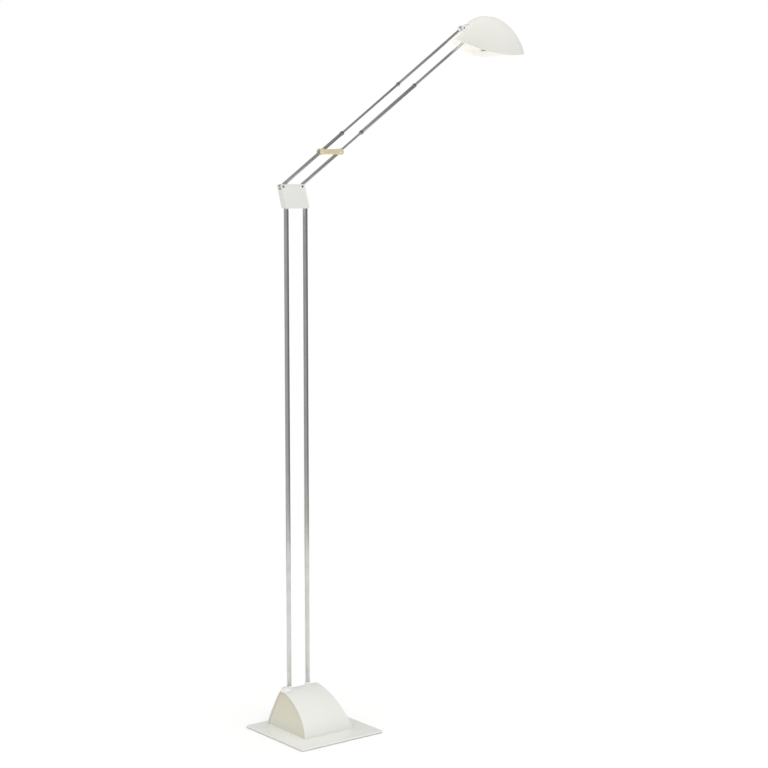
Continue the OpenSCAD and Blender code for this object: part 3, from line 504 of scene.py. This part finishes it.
def notch_face(middle, face):
    away = middle - centre
    place = math.atan2(away.y, away.x) / math.tau * 2 * GRIPS
    on_side = abs(face.normal.z) < 0.1 and math.hypot(away.x, away.y) > knob_radius * 0.9
    return on_side and math.floor(place) % 2 == 0


pick("FACE", notch_face)
bpy.ops.mesh.inset(thickness=NOTCH_EDGE, use_individual=True)
bpy.ops.transform.shrink_fatten(value=-NOTCH)
pick("FACE", lambda middle, face: face.normal.z < -0.9)
bpy.ops.mesh.inset(thickness=knob_radius - SPINDLE_RADIUS, depth=0)
bpy.ops.mesh.extrude_region_shrink_fatten(TRANSFORM_OT_shrink_fatten={"value": SPINDLE_LENGTH})
close_up()
round_edges(knob, NOTCH_EDGE, segments=2, angle=40)
stand_in(knob, "dimmer_knob")

# %% [markdown]
# ## Bracket
# The bracket is a moulding in two halves, which meet in the arm's plane and leave a fine parting
# line. Each half is a leaning four-sided outline with rounded corners, pulled to half the depth.
# The pocket for the arm's eyes, the pivot holes and the screw recesses are then cut from it, and
# every edge is rounded last. The right rod's top is cut on the slant, or it would come out through
# the leaning side.

# %% Bracket
BRACKET_LEAN = 13.5 * MM
POCKET_WIDTH = 11 * MM
POCKET_FLOOR = 14 * MM
SIDE_WALL_TOP = 43 * MM
SIDE_WALL = 2.6 * MM
ROD_SKIN = 1.1 * MM
PILLAR = 4 * MM
SCREW_RECESS = 3.1 * MM
SCREW_SUNK = 1.6 * MM
MOULD_ROUND = 0.9 * MM
PARTING = 0.06 * MM
PIN_HOLE = 2.55 * MM
BORE_PLAY = 0.05 * MM
SLANT_PLAY = 0.1 * MM
CUT_PAST = 5 * MM
FINGER = 2 * MM

front_low, front_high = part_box("bracket_front")
back_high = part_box("bracket_back")[1]
bracket_height = front_high.z - front_low.z
pivots = [Vector(joint[name]["pos_m"]) for name in ("arm_swing", "lower_strand_swing")]
foot_left = front_low.x + BRACKET_LEAN
foot_right = front_high.x


def leaning(rise, inset):
    """The left and right side of the bracket at a height above its foot."""
    shift = BRACKET_LEAN * rise / bracket_height
    return foot_left - shift + inset, foot_right - shift - inset


def leaning_outline(rise_low, rise_high, inset):
    left_low, right_low = leaning(rise_low, inset)
    left_high, right_high = leaning(rise_high, inset)
    z_low, z_high = front_low.z + rise_low, front_low.z + rise_high
    return [(left_low, z_low), (right_low, z_low), (right_high, z_high), (left_high, z_high)]


screw_low, screw_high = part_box("bracket_screws")
screw_inset = screw_low.z + SCREW_RECESS - front_low.z
low_screw = (screw_high.x - screw_low.x) / 2 - SCREW_RECESS
screw_places = [(-low_screw, front_low.z + screw_inset), (low_screw, front_low.z + screw_inset),
                (-BRACKET_LEAN / 2, front_low.z + bracket_height / 2)]
outer_line = rounded(leaning_outline(0, bracket_height, 0), [2 * MM, 2 * MM, 7 * MM, 2 * MM])
block = 4 * rod_radius
halves = (("front", front_low.y, rod_y - PARTING), ("back", rod_y + PARTING / 2, back_high.y))


def through(x, z, radius, near, far):
    """A round cutter along Y at a place in the arm's plane."""
    return peg(radius, (x, near, z), (x, far, z))


for name, near, far in halves:
    half = prism("moulded_bracket_" + name, outer_line, far - near)
    put(half, (0, near, 0))
    pocket = prism("pocket", leaning_outline(POCKET_FLOOR, bracket_height + CUT_PAST, SIDE_WALL),
                   POCKET_WIDTH)
    put(pocket, (0, rod_y - POCKET_WIDTH / 2, 0))
    cut(pocket, through(*screw_places[2], PILLAR, rod_y - POCKET_WIDTH, rod_y + POCKET_WIDTH))
    mouth = prism("mouth", leaning_outline(SIDE_WALL_TOP, bracket_height + CUT_PAST, -CUT_PAST),
                  POCKET_WIDTH)
    put(mouth, (0, rod_y - POCKET_WIDTH / 2, 0))
    cut(half, pocket, mouth)
    for pivot in pivots:
        cut(half, through(pivot.x, pivot.z, PIN_HOLE, near - FINGER, far + FINGER))
    for side_sign in (-1, 1):
        bore = peg(rod_radius + BORE_PLAY, (side_sign * rod_x, rod_y, front_low.z - FINGER),
                   (side_sign * rod_x, rod_y, front_low.z + POCKET_FLOOR + FINGER))
        inside_sides = prism("inside_sides",
                             leaning_outline(-2 * FINGER, POCKET_FLOOR + 2 * FINGER, ROD_SKIN), block)
        put(inside_sides, (0, rod_y - 2 * rod_radius, 0))
        modify(bore, "BOOLEAN", operation="INTERSECT", object=inside_sides, solver="EXACT")
        bpy.data.objects.remove(inside_sides)
        cut(half, bore)
    if name == "back":
        for x, z in screw_places:
            cut(half, through(x, z, SCREW_RECESS, far - SCREW_SUNK, far + FINGER))
    round_edges(half, MOULD_ROUND, segments=3, angle=40)
    stand_in(half, "bracket_" + name)

slant_foot = foot_right - ROD_SKIN - SLANT_PLAY
slant_head = slant_foot - BRACKET_LEAN
slant = prism("slant", [(slant_foot, front_low.z), (slant_foot + block, front_low.z),
                        (slant_foot + block, front_high.z), (slant_head, front_high.z)], block)
put(slant, (0, rod_y - 2 * rod_radius, 0))
cut(rods["right"], slant)
smooth(rods["right"])

# %% [markdown]
# ## Arm strands
# Each strand is a set of tubes that slide in each other, all on one slanting line. The size of each
# is read from the measured model as a distance along that line and a radius from it, and the tube
# is turned upright and then tipped onto the line.

# %% Arm strands
strand_line = Vector(joint["arm_extend"]["axis"]).normalized()
tip_over = strand_line.to_track_quat("Z", "Y")


def measure(node, pivot):
    """How far a round node reaches along a strand, with its outer and inner radius."""
    spots = []
    for vertex in frame["nodes"][node].data.vertices:
        away = vertex.co - pivot
        reach = away.dot(strand_line)
        spots.append((reach, (away - strand_line * reach).length))
    return (min(s for s, r in spots), max(s for s, r in spots),
            max(r for s, r in spots), min(r for s, r in spots))


tubes = {
    "upper_tube": pivots[0], "upper_rod": pivots[0], "upper_slide_tube": pivots[0],
    "upper_ferrule": pivots[0], "lower_tube": pivots[1], "lower_rod": pivots[1],
    "lower_sleeve": pivots[1], "lower_slide_tube": pivots[1], "lower_ferrule": pivots[1],
}
for node, pivot in tubes.items():
    start, end, radius, bore = measure(node, pivot)
    if node.endswith("_rod"):
        piece = turned("strand_" + node, [(0, start), (radius, start), (radius, end), (0, end)])
        round_edges(piece, RIM_ROUND, segments=2)
    else:
        piece = pipe("strand_" + node, radius, max(bore, MM), start, end, 0.3 * MM)
    put(piece, pivot, tip_over)
    stand_in(piece, node)

# %% [markdown]
# The collars at the steps are short turned rings with two fine grooves. They grip the tubes and
# stop the strands from sliding apart.

# %% Collars
GROOVE_DEPTH = 0.35 * MM
GROOVE_WIDTH = 0.7 * MM
GROOVE_SLOPE = 0.15 * MM
CHAMFER = 0.7 * MM
LEAST_BORE = 2.9 * MM


def collar(name, start, end, radius, bore):
    """A ring with two grooves, chamfered at both ends."""
    line = [(bore, start), (radius - CHAMFER, start), (radius, start + CHAMFER)]
    for share in (0.35, 0.6):
        groove = start + (end - start) * share
        line += [(radius, groove), (radius - GROOVE_DEPTH, groove + GROOVE_SLOPE),
                 (radius - GROOVE_DEPTH, groove + GROOVE_WIDTH - GROOVE_SLOPE),
                 (radius, groove + GROOVE_WIDTH)]
    line += [(radius, end - CHAMFER), (radius - CHAMFER, end), (bore, end), (bore, start)]
    return turned(name, line)


rings = [("upper_collar", pivots[0], False), ("upper_slide_collar", pivots[0], False),
         ("sleeve_collars", pivots[1], True)]
for node, pivot, pair in rings:
    start, end, radius, bore = measure(node, pivot)
    spans = [(start, end)]
    if pair:
        length = measure("upper_collar", pivots[0])
        spans = [(start, start + length[1] - length[0]), (end - length[1] + length[0], end)]
    for i, (ring_start, ring_end) in enumerate(spans):
        inner = max(bore, LEAST_BORE)
        piece = collar(f"grooved_{node}_{i}", ring_start, ring_end, radius, inner)
        put(piece, pivot, tip_over)
        stand_in(piece, node)

# %% [markdown]
# ## Brass link
# A brass link holds the strands apart. Its two cheeks are flat bars with a round end on each pivot,
# cast and polished, so their edges are soft. Domed rivets hold them.

# %% Brass link
LINK_EDGE = 0.9 * MM
BAR_HALF = 6 * MM

link_pivot = Vector(joint["link_turn"]["pos_m"])
link_gap = pivots[1].x - pivots[0].x
cheek_low, cheek_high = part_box("link_front")
end_radius = (cheek_high.z - cheek_low.z) / 2
waist = math.degrees(math.asin(BAR_HALF / end_radius))
left_end = (link_pivot.x, link_pivot.z)
right_end = (link_pivot.x + link_gap, link_pivot.z)
link_line = (arc(left_end, end_radius, waist, 360 - waist, 28)
             + arc(right_end, end_radius, 180 + waist, 540 - waist, 28))
for name in ("front", "back"):
    low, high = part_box("link_" + name)
    cheek = prism("brass_cheek_" + name, link_line, high.y - low.y)
    put(cheek, (0, low.y, 0))
    round_edges(cheek, LINK_EDGE, segments=4, angle=50)
    stand_in(cheek, "link_" + name)

rivet_low, rivet_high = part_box("link_pins")
rivet_half = (rivet_high.y - rivet_low.y) / 2
HEAD_RADIUS = 3 * MM
RIVET_RADIUS = 1.5 * MM
dome = [(HEAD_RADIUS * math.sin(math.radians(a)), math.cos(math.radians(a))) for a in range(0, 91, 15)]
dome_height = rivet_half - (cheek_high.y - cheek_low.y) - (rod_y - cheek_high.y)
for i in (0, 1):
    top = [(r, rivet_half - dome_height + dome_height * share) for r, share in dome]
    line = top + [(RIVET_RADIUS, rivet_half - dome_height), (RIVET_RADIUS, -rivet_half + dome_height)]
    line += [(r, -z) for r, z in reversed(top)]
    rivet = turned(f"brass_rivet_{i}", line)
    put(rivet, (link_pivot.x + i * link_gap, rod_y, link_pivot.z),
        Vector((0, 1, 0)).to_track_quat("Z", "Y"))
    stand_in(rivet, "link_pins")

# %% [markdown]
# ## Shade
# The shade is a thin moulded visor. In side view it climbs from a point at the back to a crown and
# falls to a low tip, and every cross section is a half ellipse. A flat grid has enough rows for
# that: each of its vertices is lifted to the place that the shade's curves give, and the sheet then
# gets its wall and a slot for the arm.

# %% Shade
SHADE_BACK = -30 * MM
SHADE_LENGTH = 222 * MM
SHADE_TIP = SHADE_BACK + SHADE_LENGTH
CROWN_X = SHADE_BACK + 0.446 * SHADE_LENGTH
WIDE_X = SHADE_BACK + 0.559 * SHADE_LENGTH
LOW_X = SHADE_BACK + 0.649 * SHADE_LENGTH
CROWN_Z = 32 * MM
BACK_Z = -29 * MM
LOW_Z = -63 * MM
TIP_Z = -55 * MM
BACK_HALF = 14 * MM
WIDE_HALF = 50 * MM
SHADE_WALL = 1.6 * MM
TIP_HALF = 1.5 * MM
SLOT_END = 20 * MM
SLOT_BACK = -0.06
SLOT_PLAY = 0.6 * MM
SLOT_CORNER = 4 * MM
SLOT_DEPTH = 0.2
ROWS = 72
COLUMNS = 56

head_pivot = Vector(joint["head_level"]["pos_m"])


def ridge_height(x):
    if x < CROWN_X:
        return CROWN_Z - (CROWN_Z - BACK_Z) * ((CROWN_X - x) / (CROWN_X - SHADE_BACK)) ** 1.7
    return CROWN_Z - (CROWN_Z - TIP_Z) * ((x - CROWN_X) / (SHADE_TIP - CROWN_X)) ** 2.8


def rim_height(x):
    if x < LOW_X:
        return LOW_Z + (BACK_Z - LOW_Z) * ((LOW_X - x) / (LOW_X - SHADE_BACK)) ** 2
    return LOW_Z + (TIP_Z - LOW_Z) * ((x - LOW_X) / (SHADE_TIP - LOW_X)) ** 2


def half_width(x):
    if x < WIDE_X:
        quarter = math.pi / 2 * (x - SHADE_BACK) / (WIDE_X - SHADE_BACK)
        return BACK_HALF + (WIDE_HALF - BACK_HALF) * math.sin(quarter)
    return WIDE_HALF * math.sqrt(max(0.0, 1 - ((x - WIDE_X) / (SHADE_TIP - WIDE_X)) ** 2.3))


bpy.ops.object.select_all(action="DESELECT")
bpy.ops.mesh.primitive_grid_add(x_subdivisions=ROWS, y_subdivisions=COLUMNS, size=1)
shade = bpy.context.object
shade.name = "visor_shade"
for vertex in shade.data.vertices:
    along = math.sin(math.pi / 2 * min(1.0, max(0.0, vertex.co.x + 0.5)))
    around = math.pi * (vertex.co.y + 0.5)
    x = SHADE_BACK + 0.5 * MM + (SHADE_LENGTH - 1.1 * MM) * along
    half = max(TIP_HALF, half_width(x))
    foot = rim_height(x)
    rise = max(TIP_HALF, ridge_height(x) - foot)
    vertex.co = (x, -half * math.cos(around), foot + rise * math.sin(around))
edit(shade)
pick("VERT", lambda middle, vertex: middle.x > SHADE_TIP - 0.7 * MM)
bpy.ops.mesh.merge(type="CENTER")
close_up()
edit(shade)
mesh = bmesh.from_edit_mesh(shade.data)
crown = max(mesh.faces, key=lambda face: face.calc_center_median().z)
if crown.normal.z < 0:
    bpy.ops.mesh.select_all(action="SELECT")
    bpy.ops.mesh.flip_normals()
bpy.ops.object.mode_set(mode="OBJECT")
modify(shade, "SOLIDIFY", thickness=SHADE_WALL, offset=-1)
slot_low, slot_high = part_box("head_carrier")
slot_half = (slot_high.y - slot_low.y) / 2 + SLOT_PLAY
slot_corners = [(SLOT_BACK, -slot_half), (SLOT_END, -slot_half),
                (SLOT_END, slot_half), (SLOT_BACK, slot_half)]
slot_cutter = prism("slot", rounded(slot_corners, [MM, SLOT_CORNER, SLOT_CORNER, MM]), SLOT_DEPTH)
put(slot_cutter, (0, 0, -SLOT_DEPTH / 2), Vector((0, -1, 0)).rotation_difference(Vector((0, 0, -1))))
cut(shade, slot_cutter)
put(shade, head_pivot)
round_edges(shade, 0.5 * MM, segments=2, angle=55)
stand_in(shade, "shade")
finished[shade] = "white_shade"

# Marks the inner faces of the shade, which get the painted lamp glow.
painted_glow = shade.data.attributes.new("painted_glow", "FLOAT", "FACE")
for face, mark in zip(shade.data.polygons, painted_glow.data):
    away = face.center - head_pivot
    outward = Vector((0, away.y, away.z - rim_height(away.x)))
    mark.value = 1.0 if face.normal.dot(outward) < 0 else 0.0
print("lining faces", sum(mark.value for mark in painted_glow.data))

# %% [markdown]
# ## Reflector, lamp and glass
# The reflector is a spun dish, the lamp a small capsule and the glass a ground disc: all are turned.

# %% Reflector
DISH_SHEET = 0.9 * MM
LAMP_HOLE = 7.5 * MM
HOLE_OUTWARDS = 0.01
HOLE_INWARDS = 0.016

dish_low, dish_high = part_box("reflector")
dish_radius = (dish_high.y - dish_low.y) / 2
dish_x = dish_high.x - dish_radius
dish_depth = dish_high.z - dish_low.z
outside = [(dish_radius * math.cos(math.radians(a)), dish_depth * math.sin(math.radians(a)))
           for a in range(0, 91, 5)]
inside = [((dish_radius - DISH_SHEET) * math.cos(math.radians(a)),
           (dish_depth - DISH_SHEET) * math.sin(math.radians(a)))
          for a in range(90, -1, -5)]
dish = turned("spun_reflector", outside + inside + outside[:1], steps=96)
put(dish, (dish_x, rod_y, dish_low.z))
bulb_low, bulb_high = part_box("bulb_glass")
bulb_z = (bulb_low.z + bulb_high.z) / 2
cut(dish, peg(LAMP_HOLE, (dish_x - dish_radius - HOLE_OUTWARDS, rod_y, bulb_z),
              (dish_x - dish_radius + HOLE_INWARDS, rod_y, bulb_z)))
stand_in(dish, "reflector")

glass_low, glass_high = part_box("safety_glass")
glass_radius = (glass_high.y - glass_low.y) / 2
disc_line = [(0, glass_low.z), (glass_radius, glass_low.z),
             (glass_radius, glass_high.z), (0, glass_high.z)]
disc = turned("ground_glass_disc", disc_line, steps=96)
round_edges(disc, 0.5 * MM, segments=2)
put(disc, (dish_x, rod_y, 0))
stand_in(disc, "safety_glass")

# %% [markdown]
# ## Finishes
# A finish is a Principled shader whose colour, roughness and bump come from patterns on the
# piece's own coordinates. Shader sums are written as plain arithmetic: a small class wraps a socket,
# and an expression on it adds the Math nodes.

# %% Sums on sockets
class Field:
    """A shader socket that can be added, subtracted and multiplied."""

    def __init__(self, socket):
        self.socket = socket

    def __add__(self, other):
        return combine("ADD", self, other)

    def __mul__(self, other):
        return combine("MULTIPLY", self, other)

    def __sub__(self, other):
        return combine("SUBTRACT", self, other)

    def __rsub__(self, other):
        return combine("SUBTRACT", other, self)

    __radd__ = __add__
    __rmul__ = __mul__


def feed(socket, value):
    """Links a field to a socket, or sets the socket to a plain value."""
    if isinstance(value, Field):
        socket.id_data.links.new(value.socket, socket)
    else:
        socket.default_value = value


def combine(operation, first, second):
    tree = (first if isinstance(first, Field) else second).socket.id_data
    node = tree.nodes.new("ShaderNodeMath")
    node.operation = operation
    feed(node.inputs[0], first)
    feed(node.inputs[1], second)
    return Field(node.outputs[0])


class Finish:
    """A material being mixed. Patterns are placed in the piece's own coordinates."""

    def __init__(self, name, **shader):
        self.material = bpy.data.materials.new(name)
        self.material.use_nodes = True
        self.tree = self.material.node_tree
        self.shader = self.tree.nodes["Principled BSDF"]
        self.place = self.node("ShaderNodeTexCoord", output="Object")
        self.set(**shader)

    def node(self, kind, settings=None, sockets=None, output=0):
        made = self.tree.nodes.new(kind)
        for name, value in (settings or {}).items():
            setattr(made, name, value)
        for name, value in (sockets or {}).items():
            feed(made.inputs[name], value)
        return Field(made.outputs[output])

    def set(self, **shader):
        for name, value in shader.items():
            feed(self.shader.inputs[name.replace("_", " ")], value)

    def noise(self, scale, detail=2.0, place=None):
        return self.node("ShaderNodeTexNoise", sockets={
            "Vector": place or self.place, "Scale": scale, "Detail": detail, "Roughness": 0.55})

    def stretched(self, scale, turn=(0, 0, 0), move=(0, 0, 0)):
        return self.node("ShaderNodeMapping", {"vector_type": "POINT"}, {
            "Vector": self.place, "Location": move, "Rotation": turn, "Scale": scale})

    def limited(self, value, low, high, to_low=0.0, to_high=1.0):
        return self.node("ShaderNodeMapRange", {"clamp": True}, {
            "Value": value, "From Min": low, "From Max": high, "To Min": to_low, "To Max": to_high})

    def mixed(self, share, first, second):
        """The first colour where the share is 0 and the second where it is 1."""
        return self.node("ShaderNodeMix", {"data_type": "RGBA"}, {0: share, 6: first, 7: second},
                         output=2)

    def bumped(self, height, distance, strength=1.0):
        return self.node("ShaderNodeBump", None, {
            "Strength": strength, "Distance": distance, "Height": height})


def colour(red, green, blue):
    return (red, green, blue, 1.0)


finishes = {}

# %% [markdown]
# ### Enamel, mouldings and nylon
# Enamel sprayed on steel has a faint orange-peel skin and tiny changes of tone. A moulding is a
# little softer and duller, with flow marks that are almost too faint to see.

# %% Enamel, mouldings and nylon
def enamel(name, base, tint, roughness):
    """Sprayed paint: an even colour with a faint second tone, and an orange-peel skin."""
    paint = Finish(name, Metallic=0.0, Coat_Weight=0.25, Coat_Roughness=0.2)
    tone = paint.limited(paint.noise(9, 3), 0.35, 0.7)
    peel = paint.noise(650, 2)
    specks = paint.limited(paint.noise(1900, 0), 0.70, 0.78)
    paint.set(Base_Color=paint.mixed(tone, base, tint),
              Roughness=roughness + 0.10 * tone + 0.25 * specks,
              Normal=paint.bumped(peel + 0.3 * specks, 0.008 * MM))
    return paint


finishes["white_enamel"] = enamel(
    "white_enamel", colour(0.775, 0.775, 0.74), colour(0.75, 0.75, 0.71), 0.36).material


def panel_enamel_with_painted_shade():
    """The end panels' warmer enamel, with painted shade that deepens the tone towards the top of the recess."""
    paint = Finish("ivory_panel", Metallic=0.0)
    place = paint.node("ShaderNodeSeparateXYZ", None, {"Vector": paint.place}, output="Z")
    # The warm ivory is the panel's own colour; the darkening with height is painted shade in the recess.
    depth = paint.limited(place, cover_low.z, cover_high.z)
    tone = paint.limited(depth + 0.35 * paint.noise(22, 3), 0.2, 1.1)
    paint.set(Base_Color=paint.mixed(tone, colour(0.69, 0.69, 0.58), colour(0.66, 0.60, 0.47)),
              Roughness=0.45 + 0.12 * paint.noise(14),
              Normal=paint.bumped(paint.noise(650, 2), 0.03 * MM))
    return paint


finishes["ivory_panel"] = panel_enamel_with_painted_shade().material


def moulding(name, base, tint, roughness, **shader):
    """A moulded part: long soft flow marks and a fine sparked skin."""
    plastic = Finish(name, Metallic=0.0, **shader)
    flow = plastic.noise(7, 4, plastic.stretched((1, 3, 1)))
    grain = plastic.noise(900, 2)
    tone = plastic.limited(flow, 0.35, 0.7)
    plastic.set(Base_Color=plastic.mixed(tone, base, tint), Roughness=roughness + 0.12 * tone,
                Normal=plastic.bumped(grain, 0.004 * MM))
    return plastic


finishes["white_moulding"] = moulding(
    "white_moulding", colour(0.785, 0.785, 0.755), colour(0.76, 0.765, 0.725), 0.40).material

# %% [markdown]
# ### The shade and its painted glow
# The shade is a thin milky moulding, so some light passes through its wall: its subsurface reaches
# as far as the wall is thick. The inside is given an even glow: painted light, as if the lamp were on,
# though its bulb is not lit. The glow's colour comes from the face mark made with the shade, so the
# outside stays unlit.

# %% The shade and its painted glow
GLOW = 0.34

shade_moulding = moulding(
    "white_shade", colour(0.775, 0.765, 0.735), colour(0.75, 0.75, 0.71), 0.38,
    Subsurface_Weight=1.0, Subsurface_Radius=(1.0, 1.0, 0.9), Subsurface_Scale=SHADE_WALL,
    Emission_Strength=GLOW)
# Painted light: only the marked inner faces glow, as if lit by the lamp.
inner_side = shade_moulding.node("ShaderNodeAttribute", {"attribute_name": "painted_glow"}, output="Fac")
shade_moulding.set(Emission_Color=shade_moulding.mixed(
    inner_side, colour(0, 0, 0), colour(1.0, 0.985, 0.94)))
finishes["white_shade"] = shade_moulding.material
finishes["white_nylon"] = moulding(
    "white_nylon", colour(0.83, 0.83, 0.81), colour(0.80, 0.80, 0.77), 0.32).material
print("finishes so far", sorted(finishes))

# %% [markdown]
# ### Chrome, nickel, zinc and brass
# Drawn tube keeps hair-fine lines along its length, which blur its reflections. The pattern is
# noise, stretched along the piece: upright for the column and tipped onto the strands' line.

# %% Metals
def metal(name, base, stain, roughness, scale=(700, 700, 5), turn=(0, 0, 0), lines=0.12,
          metallic=1.0):
    """Plated metal with drawn lines, faint stains and a few dull spots."""
    plate_metal = Finish(name, Metallic=metallic)
    drawn = plate_metal.noise(1.0, 3, plate_metal.stretched(scale, turn))
    cloud = plate_metal.limited(plate_metal.noise(30, 4), 0.45, 0.75)
    spots = plate_metal.limited(plate_metal.noise(420, 1), 0.74, 0.80)
    dull = plate_metal.limited(cloud * 0.5 + 0.6 * spots, 0, 1)
    plate_metal.set(Base_Color=plate_metal.mixed(dull, base, stain),
                    Roughness=roughness + lines * drawn + 0.12 * dull,
                    Normal=plate_metal.bumped(drawn, 0.0015 * MM))
    return plate_metal.material


arm_tilt = (0, math.atan2(strand_line.z, strand_line.x) - math.pi / 2, 0)
finishes["chrome"] = metal(
    "drawn_chrome", colour(0.66, 0.645, 0.63), colour(0.52, 0.50, 0.47), 0.14)
finishes["satin_steel"] = metal(
    "satin_nickel", colour(0.70, 0.70, 0.69), colour(0.58, 0.575, 0.56), 0.26, turn=arm_tilt)
finishes["dark_steel"] = metal(
    "dark_nickel", colour(0.46, 0.46, 0.455), colour(0.36, 0.35, 0.34), 0.30, (300, 300, 300))
finishes["zinc"] = metal(
    "bright_zinc", colour(0.62, 0.63, 0.65), colour(0.50, 0.49, 0.46), 0.30, (200, 200, 200))
finishes["brass"] = metal(
    "pale_brass", colour(0.96, 0.87, 0.58), colour(0.76, 0.60, 0.32), 0.30, (200, 200, 200),
    lines=0.05, metallic=0.45)


def spun_aluminium():
    """Bright metal with the fine rings that spinning leaves round the dish's axis."""
    bright = Finish("spun_aluminium", Metallic=1.0)
    centred = bright.stretched((1, 1, 1), move=(-dish_x, -rod_y, 0))
    rings_seen = bright.node("ShaderNodeTexWave", {"wave_type": "RINGS", "rings_direction": "Z"}, {
        "Vector": centred, "Scale": 420.0, "Distortion": 0.4, "Detail": 1.0})
    bright.set(Base_Color=colour(0.90, 0.90, 0.91), Roughness=0.10 + 0.08 * rings_seen,
               Normal=bright.bumped(rings_seen, 0.01 * MM))
    return bright.material


finishes["reflector"] = spun_aluminium()

# %% [markdown]
# ### What the base and the head hold
# These pieces show only from below or with the cover off: varnished iron, copper winding, circuit
# board, brown laminate, ceramic and clear glass.

# %% Inner finishes
def plain(name, base, tint, roughness, scale, depth, metallic=0.0):
    """A grainy finish: two close tones and a bump at one scale."""
    made = Finish(name, Metallic=metallic)
    grain = made.noise(scale, 4)
    tone = made.limited(grain, 0.35, 0.65)
    made.set(Base_Color=made.mixed(tone, base, tint), Roughness=roughness + 0.1 * tone,
             Normal=made.bumped(grain, depth))
    return made.material


def striped(name, base, tint, roughness, pitch, direction, metallic=0.0):
    """Fine even layers, such as wound wire or pressed sheets, one pitch apart."""
    made = Finish(name, Metallic=metallic)
    layer = made.node("ShaderNodeTexWave", {"wave_type": "BANDS", "bands_direction": direction}, {
        "Vector": made.place, "Scale": 1 / pitch / 3.2, "Distortion": 0.2, "Detail": 0.0})
    made.set(Base_Color=made.mixed(layer, base, tint), Roughness=roughness + 0.1 * layer,
             Normal=made.bumped(layer, pitch * 0.3))
    return made.material


finishes["pad"] = plain(
    "foam_pad", colour(0.16, 0.16, 0.155), colour(0.10, 0.10, 0.10), 0.85, 900, 0.1 * MM)
finishes["iron"] = striped(
    "varnished_iron", colour(0.12, 0.11, 0.11), colour(0.07, 0.065, 0.065), 0.4, 0.5 * MM, "Y", 0.6)
finishes["winding"] = striped(
    "copper_winding", colour(0.62, 0.27, 0.10), colour(0.35, 0.13, 0.05), 0.35, 0.6 * MM, "Z", 0.9)
finishes["board"] = plain(
    "resin_board", colour(0.42, 0.30, 0.13), colour(0.36, 0.25, 0.10), 0.5, 300, 0.02 * MM)
finishes["black_parts"] = plain(
    "black_parts", colour(0.03, 0.03, 0.03), colour(0.05, 0.05, 0.05), 0.4, 500, 0.02 * MM)
finishes["insulator"] = striped(
    "brown_laminate", colour(0.42, 0.28, 0.13), colour(0.34, 0.22, 0.10), 0.55, 0.8 * MM, "Z")
finishes["ceramic"] = plain(
    "unglazed_ceramic", colour(0.80, 0.78, 0.72), colour(0.74, 0.71, 0.64), 0.7, 800, 0.04 * MM)


def clear_glass():
    """Clear glass with a faint haze of dust in its roughness."""
    glass = Finish("clear_glass", Metallic=0.0, Transmission_Weight=1.0, IOR=1.5)
    haze = glass.limited(glass.noise(60, 3), 0.4, 0.7)
    glass.set(Base_Color=glass.mixed(haze, colour(0.97, 0.98, 0.98), colour(0.94, 0.96, 0.96)),
              Roughness=0.02 + 0.05 * haze)
    return glass.material


finishes["clear_glass"] = clear_glass()

# %% [markdown]
# ### Giving out the finishes
# A slot is the record's name for a finish. Both the new pieces and the measured nodes have one, so
# one loop covers all of them.

# %% Giving out the finishes
for piece, finish in finished.items():
    piece.data.materials.clear()
    piece.data.materials.append(finishes[finish])
for node, piece in frame["nodes"].items():
    for material_slot in piece.material_slots:
        material_slot.material = finishes[slot_of_node[node]]
print("finishes", sorted(finishes))

# %% [markdown]
# ## Last update
# The view layer is brought up to date once more, after all the pieces.

# %% Last update
bpy.context.view_layer.update()
